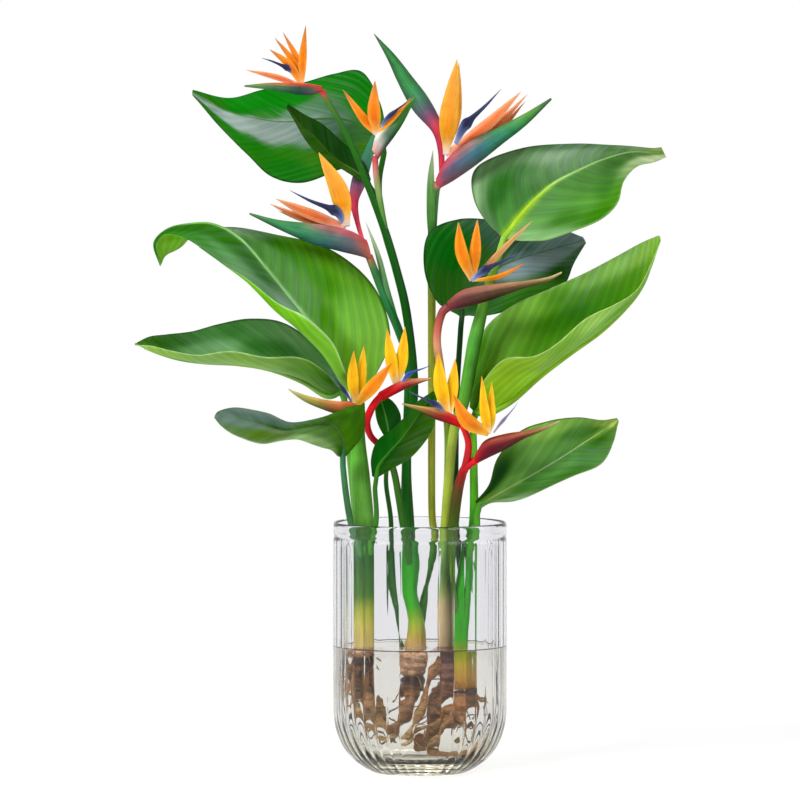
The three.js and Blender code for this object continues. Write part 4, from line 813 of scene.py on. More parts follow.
    ),
}


# Leaves

def leaf_lines(shape):
    """Shares along a blade, in rows enough for its length, and its edge, midrib and other edge at each."""
    length = length_along(run(shape["midrib"], np.linspace(0, 1, 60)))[-1]
    rows = int(length / ROW_STEP) + 12
    shares = np.linspace(0, 1, rows)
    return shares, *(run(shape[line], shares) for line in ("edgeA", "midrib", "edgeB"))


def leaf(name, shape, seed):
    """One leaf with its petiole: a blade with pleats along its side veins, and the petiole, which
    runs on under the blade as its midrib."""
    form = Form(name, "leaf", [leaf_cuticle, stalk_skin])
    luck = random.Random(seed)
    t, edge_a, midrib, edge_b = leaf_lines(shape)
    facing = 1 if midrib[-1][0] < midrib[0][0] and name != "leaf_back_small" else -1
    along = directions(midrib)
    half = (1 - np.cos(np.linspace(0, math.pi, HALF_COLUMNS))) / 2
    s = np.concatenate([half - 1, half[1:]])
    reach = FOLD_START if "fold" in shape else 1
    w = np.where(s < 0, s + 1, np.minimum(s / reach, 1))[None, :, None]
    lip = np.clip((s - reach) / max(1 - reach, 0.01), 0, 1)[None, :]
    width_a = np.linalg.norm(midrib - edge_a, axis=1)
    width_b = np.linalg.norm(edge_b - midrib, axis=1)
    up_a = unit(np.cross(along, midrib - edge_a))
    up_b = unit(np.cross(along, edge_b - midrib))
    on_a = (s < 0)[None, :, None]
    start = np.where(on_a, edge_a[:, None], midrib[:, None])
    end = np.where(on_a, midrib[:, None], edge_b[:, None])
    up = np.where(on_a, up_a[:, None], up_b[:, None])
    width = np.where(on_a[..., 0], width_a[:, None], width_b[:, None])
    sheet = start + (end - start) * w + up * (shape["arch"] * width * 4 * (w * (1 - w))[..., 0])[..., None]
    if "fold" in shape:
        turn = np.stack([lip, np.sin(lip * math.pi / 2), lip ** 1.5], axis=-1)
        sheet = sheet + smooth(shape["fold"], t)[:, None] * turn
    u = length_along(midrib)[:, None]
    d = np.abs(s)[None, :] * width
    inner, outer = shape.get("slant", (1, 1.5))
    run_out = inner * d + (outer - inner) * d * np.abs(s)[None, :] / 2
    stray = sum(
        VEIN_SPACING * VEIN_STRAY * np.sin((u * a + d * b) / STRAY_LENGTH + luck.uniform(0, ANY_START))
        for a, b in ((1, 0.2), (0.3, 1.4), (1.7, -0.8)))
    phase = u - run_out + stray
    skin_up = unit(np.cross(np.gradient(sheet, axis=0), np.gradient(sheet, axis=1))) * facing
    fade = np.clip(t * 9, 0, 1)[:, None] * np.clip((1 - t) * 7, 0, 1)[:, None]
    ripple = RIPPLE * np.abs(s)[None, :] ** 3 * fade * np.sin(
        u / RIPPLE_LENGTH + np.sign(s)[None, :] * 1.3 + luck.uniform(0, ANY_START))
    pleat = PLEAT / (1 + outer) * np.sin(2 * math.pi * phase / VEIN_SPACING) * np.clip(d / 4, 0, 1) * fade
    rib_width = smooth(shape.get("rib_width", [1, 0.6]), t)[:, None]
    channel = np.exp(-(d / rib_width) ** 2)
    # Painted shade: a darker line down the middle of a wide midrib, in its groove
    painted_groove_shade = np.exp(-(d / (0.35 * rib_width)) ** 2) * np.clip(rib_width - 1, 0, 1)
    thick = BLADE_EDGE + (BLADE_THICKNESS - BLADE_EDGE) * np.clip((1 - np.abs(s)) * 12, 0, 1)[None, :]
    lift = (ripple + pleat)[..., None] * skin_up
    top = sheet + lift + skin_up * (thick / 2 - 0.3 * channel * fade)[..., None]
    bottom = sheet + lift - skin_up * (thick / 2 + 0.25 * channel * fade)[..., None]
    rim = 0.8 * np.clip((np.abs(s) - MARGIN_START) / MARGIN_FADE, 0, 1)[None, :, None]
    margin = np.where(on_a, *(linear(tone) for tone in shape.get("margins", ("#24500f", "#24500f"))))
    rib_colour = blend_tones(shape["rib"], t)[:, None]
    across = (np.where(s < 0, s, w[0, :, 0] + 0.25 * lip[0]) / 2)[None, :]
    sides = []
    for tones in (shape["upper"], shape["under"]):
        halved = [(tone[0], tone[1] / 2, tone[2]) for tone in tones]
        tint = blend_tones(halved, t[:, None], across, steep=shape.get("steep", 2.2))
        tint = tint + (rib_colour * (1 - 0.4 * painted_groove_shade[..., None]) - tint) * (0.9 * channel)[..., None]
        sides.append(tint + (margin - tint) * rim)
    spots = shape.get("sheen", [(0.5, 0, 0.1)])
    sheen = blend_values([(p[0], p[1] / 2) for p in spots], [[p[2]] for p in spots],
        (t[:, None], across))[..., 0]
    rings = np.concatenate([top, bottom[:, ::-1]], axis=1)
    tints = np.concatenate([sides[0], sides[1][:, ::-1]], axis=1)
    both = [np.concatenate([part, part[:, ::-1]], axis=1) for part in (d * MM, phase * MM, sheen)]
    form.loft(rings, tints, both)
    petiole(form, name, shape, t, midrib, skin_up[:, HALF_COLUMNS - 1])
    piece = form.finished()
    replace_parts(piece, name)


def petiole(form, name, shape, t, midrib, blade_up):
    """The petiole, and the midrib that it becomes, sunk into the blade's underside."""
    stations = shape["petiole"]
    shares = np.linspace(0, 1, 14 * len(stations))
    stem = run(stations, shares)
    radii = profile(shape["radii"], shares)
    within = (t > 0.012) & (t < 0.94)
    root = shape["radii"][-1]
    rib_radii = np.maximum(0.5, root * (1 - t) ** 0.9)
    sunk = midrib - blade_up * (rib_radii * 0.75)[:, None]
    joined = np.clip(t / 0.12, 0, 1)[:, None]
    rib = midrib * (1 - joined) + sunk * joined
    tube(
        form, np.concatenate([stem, rib[within]]), np.concatenate([radii, rib_radii[within]]),
        np.concatenate([
            ramp(shape["stalk"], shares),
            blend_tones(
                [(0, shape["stalk"][-1][1]), *((max(spot, 0.25), tone) for spot, tone in shape["rib"])],
                t[within])]),
        side=placed(shape["edgeB"][0]) - placed(shape["edgeA"][0]), finish=1, channel=0.1,
        # Painted side light and shade on the petiole, as strong as the leaf asks
        painted_light=shape.get("painted_light", PAINTED_SIDE_LIGHT))


# A root's knots, as shares of its radius, its sway as a share too, and the depth of its dark rings
FINE_KNOT = 0.05
LONG_KNOT = 0.09
ROOT_SWAY = 0.16
RING_DARK = 0.45

# Half widths of sepals from base to point, as a share of the widest
SEPAL_OUTLINE = [0.42, 0.7, 0.96, 1.0, 0.8, 0.46, 0.03]
SLIM_OUTLINE = [0.3, 0.52, 0.86, 1.0, 0.82, 0.5, 0.03]

# Tones along a sepal or petal from its base to its point, down its middle and along its margins
FLAME = [(0, [(0, "#f6d8c4"), (0.12, "#f2a050"), (0.35, "#ea6a10"), (0.7, "#f0801c"), (1, "#b0703c")]),
         (1, [(0, "#f6d8c4"), (0.15, "#f8a840"), (0.5, "#f8982c"), (1, "#c88c50")])]
GOLD = [(0, [(0, "#f4e0dc"), (0.14, "#f8c070"), (0.3, "#fb960c"), (0.5, "#f99830"), (0.75, "#f69a3c"),
             (1, "#e0a040")]),
        (1, [(0, "#f4e4e0"), (0.2, "#fcb83c"), (0.6, "#fbb03c"), (1, "#e8b050")])]
TANGERINE = [(0, [(0, "#f8c070"), (0.2, "#f08820"), (0.5, "#e8740c"), (0.8, "#ea7c18"), (1, "#d08030")]),
             (1, [(0, "#fbd084"), (0.3, "#f6a02c"), (0.8, "#f8a030"), (1, "#ecb858")])]
CORAL = [(0, [(0, "#f0a080"), (0.3, "#ec6430"), (0.7, "#f0783c"), (1, "#e89c6c")]),
         (1, [(0, "#f6c0a0"), (0.5, "#f8a070"), (1, "#f0b890")])]
TAN = [(0, [(0, "#a8642c"), (0.5, "#c88a4c"), (1, "#d09450")]), (1, [(0, "#c08848"), (1, "#e0b480")])]
YELLOW = [(0, [(0, "#fbe8a0"), (0.2, "#f8a018"), (0.5, "#fbb414"), (1, "#e89c24")]),
          (1, [(0, "#fdf0c0"), (0.3, "#fcd428"), (0.8, "#fbc82c"), (1, "#e8b040")])]
AMBER = [(0, [(0, "#f8b43c"), (0.3, "#ec7c18"), (0.8, "#e87820"), (1, "#d06820")]),
         (1, [(0, "#fcc850"), (0.5, "#f8a024"), (1, "#ec9430")])]
NAVY = [(0, [(0, "#98a4d0"), (0.14, "#5a6aa0"), (0.32, "#1b1e40"), (0.6, "#1f2348"), (1, "#4a4f7c")]),
        (1, [(0, "#b0bce0"), (0.2, "#6a7ab4"), (0.4, "#262b58"), (0.7, "#363f70"), (1, "#5a6a94")])]
LILAC = [(0, [(0, "#a898b8"), (0.25, "#5c5478"), (1, "#5c5680")]), (1, [(0, "#c8bcd0"), (1, "#9c94bc")])]
COBALT = [(0, [(0, "#7c8cc8"), (0.25, "#26429c"), (0.7, "#2438a0"), (1, "#4a50a0")]),
          (1, [(0, "#98a8dc"), (0.4, "#3a54ac"), (1, "#5a64ac")])]
ROOT_TONES = [(0, "#7a4e2e"), (0.3, "#845c34"), (0.7, "#8e6c42"), (1, "#a0845a")]
SIDE_ROOT_TONES = [(0, "#54381f"), (1, "#8c7048")]

# The nine heads. A skin has rows of tones from the spathe's base to its point: along the keel (-1), the
# sides (0) and the lips (1). The keel's darker tones are partly the spathe's own colour and partly painted
# shade on its lower side.
HEADS = [
    dict(
        number=1, sepalSlot="sepal", sepalTones=FLAME, petalTones=NAVY,
        skin=[
            (-1, [(0, "#a83c40"), (0.18, "#4a5450"), (0.4, "#2a4a44"), (0.7, "#3c6a4c"), (1, "#5a8a50")]),
            (0.2, [(0, "#c03c40"), (0.15, "#5a5450"), (0.35, "#2f5048"), (0.7, "#4a7450"), (1, "#5f8f54")]),
            (1, [(0, "#d83c34"), (0.3, "#d8502c"), (0.6, "#d8703c"), (0.8, "#a87c4c"), (1, "#6a8a4c")]),
        ],
        spathe=dict(
            swell=5.5,
            lips=[[-98.5, -3, 687], [-115, -3, 689.5], [-132, -3, 690], [-150, -3, 690], [-175, -3, 687.6]],
            keel=[[-97, -3, 680.5], [-112, -3, 677.5], [-128, -3, 679], [-144, -3, 682], [-175.5, -3, 686]],
        ),
        sepalBase=[-118, -3, 687],
        sepals=[
            dict(path=[[-117, -7, 715], [-114, -9, 747]], width=8),
            dict(path=[[-122, 3, 712], [-137, 6, 741]], width=7),
            dict(path=[[-126, -2, 710], [-145, -2, 735]], width=7),
            dict(path=[[-130, -8, 707], [-150, -12, 723]], width=8),
            dict(path=[[-144, 3, 696], [-174, 2, 703]], width=6, tones=CORAL),
        ],
        petal=dict(
            path=[[-124, -3, 696], [-130, -8, 703], [-137, -12, 706.5], [-148, -16, 711], [-158, -18, 714]],
            width=6,
        ),
    ),
    dict(
        number=2, sepalSlot="sepal", sepalTones=FLAME, petalTones=NAVY,
        skin=[
            (-1, [(0, "#8a3a3c"), (0.2, "#3a443c"), (0.45, "#1f3c24"), (0.8, "#2f6a24"), (1, "#3f7a2c")]),
            (0, [(0, "#c06a68"), (0.2, "#b0aca4"), (0.4, "#5a7a64"), (0.7, "#3f7a3c"), (1, "#4a8a34")]),
            (1, [(0, "#e8a8a0"), (0.25, "#f0e8e4"), (0.5, "#ecd8b8"), (0.8, "#a8a04c"), (1, "#6a8a3c")]),
        ],
        spathe=dict(
            swell=4,
            lips=[[-48, -4, 623], [-44, -4, 638], [-34, -4, 651], [-22, -4, 662], [-6, -5, 676]],
            keel=[[-42, -4, 613], [-34, -4, 625], [-25, -4, 637], [-16, -4, 651], [-5, -5, 673]],
        ),
        sepalBase=[-43, -5, 638],
        sepals=[
            dict(path=[[-57, -6, 655], [-77, -6, 683]], width=9),
            dict(path=[[-46, -9, 662], [-45, -8, 692]], width=13),
            dict(path=[[-26, -8, 656], [-9, -8, 675]], width=6, tones=AMBER),
        ],
        petal=dict(
            path=[[-39, -6, 645], [-34, -9.5, 653], [-24, -11, 662], [-16, -12, 668], [-9, -12.5, 674]],
            width=4.5,
        ),
    ),
    dict(
        number=3, sepalSlot="sepal", sepalTones=GOLD, petalTones=NAVY,
        skin=[
            (-1, [(0, "#d8505c"), (0.1, "#8a5560"), (0.3, "#6a5a66"), (0.5, "#3f6f5c"), (0.8, "#2f7a44"),
                (1, "#4a5a44")]),
            (0, [(0, "#d84a58"), (0.12, "#7a5a74"), (0.28, "#56647c"), (0.45, "#3f7280"),
                (0.65, "#3a8a62"), (0.85, "#4a8a3c"), (1, "#4a6a4c")]),
            (1, [(0, "#e04a5c"), (0.22, "#c85460"), (0.42, "#a87c70"), (0.58, "#4a8f5c"),
                (0.85, "#6a9a44"), (1, "#5a6a4a")]),
        ],
        spathe=dict(
            swell=8.5,
            lips=[[16.5, 29, 595.5], [27, 26, 615], [48, 24, 632], [75, 22, 645], [104, 20, 660],
                [131, 18, 676]],
            keel=[[19, 29, 585], [35, 26, 594], [58, 24, 610], [83, 22, 630], [107, 20, 649],
                [132, 18, 674]],
        ),
        bracts=[dict(
            path=[[22, 27, 602], [21, 28, 626], [17, 30, 646], [1, 33, 670], [-15, 36, 695],
                [-29, 38, 718], [-46, 40, 741]],
            width=20,
            tones=[
                (0, [(0, "#e0485c"), (0.32, "#e8465c"), (0.38, "#b8506c"), (0.44, "#6f5878"),
                    (0.5, "#4f7a6a"), (0.6, "#3f8f50"), (0.85, "#3f8a48"), (1, "#4a6a48")]),
                (1, [(0, "#d8405a"), (0.32, "#c84460"), (0.42, "#5a5068"), (0.55, "#3a6a48"),
                    (1, "#2f5a34")]),
            ],
        )],
        sepalBase=[26, 24, 619],
        sepals=[
            dict(path=[[29, 19, 658], [37, 14, 714]], width=19, outline=SLIM_OUTLINE),
            dict(path=[[35, 26, 660], [39, 23, 711]], width=13, outline=SLIM_OUTLINE),
            dict(path=[[66, 24, 648], [101, 17, 682]], width=12, tones=CORAL),
            dict(path=[[72, 28, 645], [108, 27, 680]], width=8, tones=CORAL),
            dict(path=[[76, 30, 642], [106, 30, 673]], width=6, tones=CORAL),
        ],
        petal=dict(path=[[36, 20, 630], [43, 12, 645], [52, 6, 655], [66, 4, 668], [81, 3, 684]], width=10),
    ),
    dict(
        number=4, sepalSlot="sepal", sepalTones=GOLD, petalTones=NAVY,
        skin=[
            (-1, [(0, "#c06048"), (0.15, "#7a5a5c"), (0.3, "#545a6a"), (0.5, "#34606a"),
                (0.75, "#3a7a5a"), (1, "#5a6a54")]),
            (0, [(0, "#c85a4c"), (0.12, "#a8604f"), (0.25, "#66646e"), (0.45, "#4c7068"),
                (0.62, "#468a60"), (0.85, "#3f8a54"), (1, "#5a7a54")]),
            (1, [(0, "#d84a5c"), (0.3, "#c8606a"), (0.5, "#a87a74"), (0.65, "#4a8a5c"), (1, "#4f8a4c")]),
        ],
        spathe=dict(
            swell=8.5,
            lips=[[-54, 0, 533], [-70, -3, 542], [-90, -6, 547], [-115, -9, 550], [-142, -12, 553],
                [-170, -14, 560]],
            keel=[[-49, 0, 513], [-61, -3, 517], [-82, -6, 522], [-108, -9, 529], [-136, -12, 541],
                [-170, -14, 558]],
        ),
        bracts=[dict(
            path=[[-57, 0, 531], [-63, 6, 553], [-66, 15, 573], [-61, 22, 593], [-54, 25, 613],
                [-47, 26, 634], [-42, 26, 649]],
            width=15,
            tones=[
                (0, [(0, "#dc4a5c"), (0.32, "#e84a64"), (0.42, "#a0587a"), (0.5, "#6f5a78"),
                    (0.6, "#4a7a6a"), (0.8, "#3f8a62"), (1, "#3f8a54")]),
            ],
        )],
        sepalBase=[-74, -5, 546],
        sepals=[
            dict(path=[[-81, -12, 582], [-101, -12, 620]], width=19),
            dict(path=[[-110, -6, 559], [-144, -14, 574]], width=11, tones=CORAL),
            dict(path=[[-114, 1, 554], [-150, -2, 569]], width=8, tones=CORAL),
            dict(path=[[-112, 3, 552], [-142, 0, 562]], width=5, tones=CORAL),
        ],
        petal=dict(
            path=[[-77, -6, 550], [-82, -12, 560], [-92, -16, 565], [-110, -20, 572], [-130, -23, 582]],
            width=10,
        ),
    ),
    dict(
        number=5, sepalSlot="sepal", sepalTones=TANGERINE, petalTones=NAVY,
        skin=[
            (-1, [(0, "#843840"), (0.15, "#522c30"), (0.4, "#443028"), (0.7, "#5f5a3a"), (1, "#a89870")]),
            (0, [(0, "#8c3c44"), (0.12, "#66383c"), (0.35, "#5c4038"), (0.55, "#54482e"),
                (0.8, "#7a6a44"), (1, "#c8b48c")]),
            (1, [(0, "#a8504a"), (0.2, "#a8645a"), (0.4, "#c08468"), (0.7, "#b88a60"), (1, "#d8c49c")]),
        ],
        spathe=dict(
            swell=8.5,
            lips=[[27, -20, 471], [42, -22, 482.5], [68, -24, 488], [98, -26, 491], [125, -28, 495],
                [141, -30, 501]],
            keel=[[29.5, -20, 462], [48, -22, 466], [72, -24, 473], [100, -26, 483], [126, -28, 490.5],
                [141, -30, 499]],
        ),
        sepalBase=[52, -24, 492],
        sepals=[
            dict(path=[[41, -31, 521], [38, -33, 550]], width=12.5),
            dict(path=[[55, -27, 522], [57, -27, 553]], width=11.5),
            dict(path=[[68, -20, 508], [88, -21, 529], [112, -22, 552]], width=6.5, tones=TAN),
            dict(path=[[78, -21, 496], [104, -25, 509]], width=5, tones=AMBER),
        ],
        petal=dict(
            path=[[51, -28, 492], [61, -33, 500], [71, -37, 506], [86, -39, 513], [104, -40, 521]],
            width=8,
        ),
    ),
    dict(
        number=6, sepalSlot="sepal_yellow", sepalTones=YELLOW, petalTones=NAVY,
        skin=[
            (-1, [(0, "#5a2018"), (0.3, "#4a3a18"), (0.6, "#5a6a2c"), (1, "#a8a868")]),
            (0, [(0, "#c0502c"), (0.25, "#b0603a"), (0.5, "#8a7a3c"), (0.8, "#a8a050"), (1, "#c8c890")]),
            (1, [(0, "#d86a44"), (0.35, "#e08850"), (0.6, "#c8a85c"), (1, "#d0d098")]),
        ],
        spathe=dict(
            swell=5,
            lips=[[-64, -26, 373], [-79, -26, 371.5], [-98, -27, 374], [-117, -28, 379],
                [-131, -29, 384.5]],
            keel=[[-65, -26, 361], [-82, -26, 359], [-101, -27, 365], [-117, -28, 372.5], [-131, -29, 383]],
        ),
        sepalBase=[-64, -27, 368],
        sepals=[
            dict(path=[[-67, -31, 395], [-66, -33, 422]], width=11.5),
            dict(path=[[-59, -27, 396], [-56, -26, 427]], width=11.5),
            dict(path=[[-46, -37, 388], [-28, -38, 410]], width=13, tones=AMBER),
        ],
        petal=dict(
            path=[[-68, -27, 371], [-73, -33, 379], [-79, -36, 387], [-86, -38, 396], [-94, -39, 405]],
            width=4,
        ),
    ),
    dict(
        number=7, sepalSlot="sepal_yellow", sepalTones=YELLOW, petalTones=COBALT,
        skin=[
            (-1, [(0, "#c81820"), (0.35, "#8a1c28"), (0.6, "#6a2a2c"), (1, "#8a6a4c")]),
            (0, [(0, "#e01c24"), (0.3, "#d82028"), (0.55, "#b84440"), (0.8, "#c08058"), (1, "#d8a070")]),
            (1, [(0, "#e8242c"), (0.35, "#e04840"), (0.6, "#e08a60"), (1, "#d8a878")]),
        ],
        spathe=dict(
            swell=4.5,
            lips=[[-41, -26, 381], [-28, -28, 388], [-16, -30, 393], [-4, -31, 394.5], [11, -32, 395]],
            keel=[[-37, -26, 372], [-24, -28, 379], [-12, -30, 385], [1, -31, 390], [11, -32, 393.5]],
        ),
        sepalBase=[-24, -29, 388],
        sepals=[
            dict(path=[[-29, -31, 414], [-33, -32, 444]], width=12),
            dict(path=[[-18, -28, 415], [-15, -28, 446]], width=12.5),
        ],
        petal=dict(
            path=[[-20, -30, 387], [-14, -34, 396], [-7, -36, 401], [2, -37, 404], [12, -38, 408]],
            width=4.5,
        ),
    ),
    dict(
        number=8, sepalSlot="sepal_yellow", sepalTones=YELLOW, petalTones=NAVY,
        skin=[
            (-1, [(0, "#b81420"), (0.25, "#8a1820"), (0.5, "#5a2420"), (0.75, "#4a4020"), (1, "#7a6a40")]),
            (0, [(0, "#d8141c"), (0.25, "#b81c28"), (0.45, "#8a3c30"), (0.7, "#8a6434"), (1, "#a89058")]),
            (1, [(0, "#e0242c"), (0.25, "#d84838"), (0.45, "#d89858"), (0.75, "#e0b468"), (1, "#c8b070")]),
        ],
        spathe=dict(
            swell=5,
            lips=[[41, -52, 354], [28, -53, 361], [15, -54, 365], [0, -55, 367], [-18, -56, 370]],
            keel=[[44, -52, 344], [28, -53, 349.5], [13, -54, 354.5], [0, -55, 361], [-18, -56, 368.5]],
        ),
        sepalBase=[28, -53, 356],
        sepals=[
            dict(path=[[20, -57, 389], [18, -58, 420]], width=14),
            dict(path=[[32, -52, 385], [35, -51, 414]], width=12),
        ],
        petal=dict(
            path=[[24, -54, 361], [18, -59, 367], [10, -61, 371.5], [0, -62, 376], [-12, -63, 382]],
            width=6,
        ),
    ),
    dict(
        number=9, sepalSlot="sepal_yellow", sepalTones=YELLOW, petalTones=LILAC,
        skin=[
            (-1, [(0, "#a81c28"), (0.12, "#5a1c20"), (0.5, "#44241f"), (0.8, "#6a5434"), (1, "#a89a68")]),
            (0, [(0, "#c01c28"), (0.1, "#8c1c2a"), (0.25, "#5c1c2c"), (0.6, "#5c2a2c"), (0.8, "#80603f"),
                (1, "#b8a87c")]),
            (1, [(0, "#cc2c34"), (0.15, "#a03a36"), (0.45, "#a8503a"), (0.7, "#ac7048"), (1, "#b8ac78")]),
        ],
        spathe=dict(
            swell=6.5,
            lips=[[54.5, -50, 320], [64, -52, 332.5], [82, -53, 338.5], [102, -54, 342], [120, -55, 346],
                [138, -56, 352.5]],
            keel=[[56, -50, 311], [68, -52, 317], [84, -53, 324.5], [102, -54, 334.5], [118, -55, 341],
                [138, -56, 350.5]],
        ),
        sepalBase=[68, -53, 340],
        sepals=[
            dict(path=[[64, -58, 361], [61, -59, 397]], width=10),
            dict(path=[[70, -54, 359], [71, -55, 391]], width=10),
            dict(path=[[46, -65, 353], [33, -68, 378]], width=15, tones=AMBER),
        ],
        petal=dict(
            path=[[73, -54, 341], [79, -59, 349], [86, -61, 357], [92, -62, 364], [98, -62, 372]],
            width=3.5,
        ),
    ),
]

# The six flower stalks, from below upward, with tones by their share of the length
STALKS = {
    "stalk_1_2": dict(
        main=[[-5, 6, SHEATH_FOOT], [-5, 6, 150], [-9, 6, 180], [-9, 7, 213], [-13, 10, 250],
            [-13, 12, 318], [-6, 11, 385], [-13, 8, 458], [-24, 6, 505], [-37, 4, 548], [-54, 1, 593],
            [-73, 0, 638], [-91, -2, 670], [-98, -3, 682]],
        radii=[10.5, 8, 7.2, 8.6, 5, 4.4, 4.4, 4.3, 4.2, 4, 3.6, 3, 2.8, 3],
        branch=[[-34, 4, 540], [-38, 3, 560], [-42, 0, 585], [-44, -3, 600], [-45, -4, 617]],
        branchRadii=[3, 3.2, 3.2, 3, 3],
        tones=[(0, "#b08c64"), (0.03, "#a0883c"), (0.07, "#8a9c2c"), (0.12, "#34980c"), (0.23, "#268804"),
            (0.3, "#1f6c12"), (0.5, "#1c5418"), (0.7, "#1f5c1c"), (0.85, "#2c6a1c"), (0.93, "#4c7c34"),
            (0.955, "#8a6a40"), (0.97, "#b85048"), (0.985, "#c83a40"), (1, "#b83440")],
        branchTones=[(0, "#3f7a2c"), (0.35, "#6a9a4c"), (0.55, "#98ac6c"), (0.75, "#c08a78"),
            (0.9, "#c85a5c"), (1, "#b84a50")],
    ),
    "stalk_3": dict(
        main=[[-3, 8, 130], [4, 16, 173], [15, 24, 228], [12, 32, 262], [12, 38, 383], [12, 48, 470],
            [12, 50, 520], [13, 44, 556], [15, 33, 582], [18, 29, 590]],
        radii=[3.4, 3.6, 3.6, 3.6, 3.8, 4, 4.4, 4.6, 4.8, 4.4],
        tones=[(0, "#2f6a1c"), (0.2, "#3a7a20"), (0.27, "#a0a832"), (0.5, "#a8ac34"), (0.62, "#7fa03c"),
            (0.75, "#3f8a3c"), (0.93, "#5a8a48"), (1, "#b8806c")],
        sheaths=[dict(
            path=[[12, 41, 528], [11, 34, 562], [11, 28, 596], [13, 27, 624]],
            width=9,
            tones=[(0, "#3f8a34"), (0.5, "#5c9448"), (0.8, "#8cae78"), (1, "#b8c8a4")],
        )],
    ),
    "stalk_4": dict(
        main=[[-10, 9, 200], [-15, 25, 250], [-14, 26, 318], [-12, 26, 380], [-12, 23, 413],
            [-21, 19, 442], [-31, 15, 466], [-40, 11, 488], [-46, 5, 504], [-51, 1, 517]],
        radii=[4, 4, 4, 4, 4.2, 4.4, 4.4, 4.2, 4, 3.8],
        tones=[(0, "#1c5c14"), (0.4, "#246a24"), (0.7, "#34824c"), (0.9, "#4a8a54"), (1, "#b06a54")],
        sheaths=[dict(
            path=[[-23, 17, 452], [-33, 11, 482], [-42, 7, 518], [-54, 3, 551]],
            width=7,
            tones=[(0, "#3f8a4c"), (0.5, "#6a9c60"), (0.8, "#9cb48c"), (1, "#c0ccac")],
        )],
    ),
    "stalk_5": dict(
        main=[[24, 5, 205], [26, 14, 250], [28, 12, 300], [28, 8, 340], [25, 1, 375], [20, -12, 408],
            [17, -18, 430], [18, -20, 446], [22, -20, 460], [28, -20, 466]],
        radii=[3.6, 3.8, 3.8, 3.8, 3.8, 4, 4, 4, 4.2, 4.4],
        tones=[(0, "#6a9a2a"), (0.49, "#86a03c"), (0.57, "#d8a070"), (0.66, "#e09878"), (0.75, "#c86858"),
            (0.87, "#a04844"), (1, "#843c42")],
    ),
    "stalk_6_7": dict(
        main=[[-10, 3, 205], [-17, -9, 250], [-21, -12, 275], [-27, -15, 305], [-38, -19, 325],
            [-49, -22, 337], [-53, -24, 350], [-50, -25, 361], [-45, -26, 370], [-39, -26, 377]],
        radii=[3.8, 3.8, 3.6, 3.4, 3.2, 3.2, 3.6, 3.8, 3.6, 3.4],
        branch=[[-53, -24, 348], [-58, -25, 358], [-66, -26, 366]], branchRadii=[3.4, 3.4, 3.2],
        tones=[(0, "#2f6a22"), (0.35, "#3f6a24"), (0.43, "#7a2a20"), (0.52, "#b82028"), (0.62, "#d81c28"),
            (1, "#e01c24")],
        branchTones=[(0, "#c8242c"), (1, "#d8202c")],
    ),
    "stalk_8_9": dict(
        main=[[42, -3, 150], [34, -9, 190], [33, -12, 225], [34, -17, 255], [37, -27, 280],
            [41, -37, 297], [45, -44, 307], [56, -50, 315]],
        radii=[3.4, 3.6, 4.2, 5.4, 5.4, 4.6, 4.2, 3.8],
        branch=[[44, -43, 304], [47, -48, 318], [48, -51, 330], [45, -52, 341], [41, -52, 349]],
        branchRadii=[4, 3.8, 3.4, 3.2, 3.2],
        tones=[(0, "#3f6a24"), (0.2, "#4c7424"), (0.4, "#3f5a1c"), (0.6, "#5a4a24"), (0.75, "#a02a28"),
            (0.9, "#d0202a"), (1, "#d8202c")],
        branchTones=[(0, "#b02428"), (1, "#d8202c")],
    ),
}

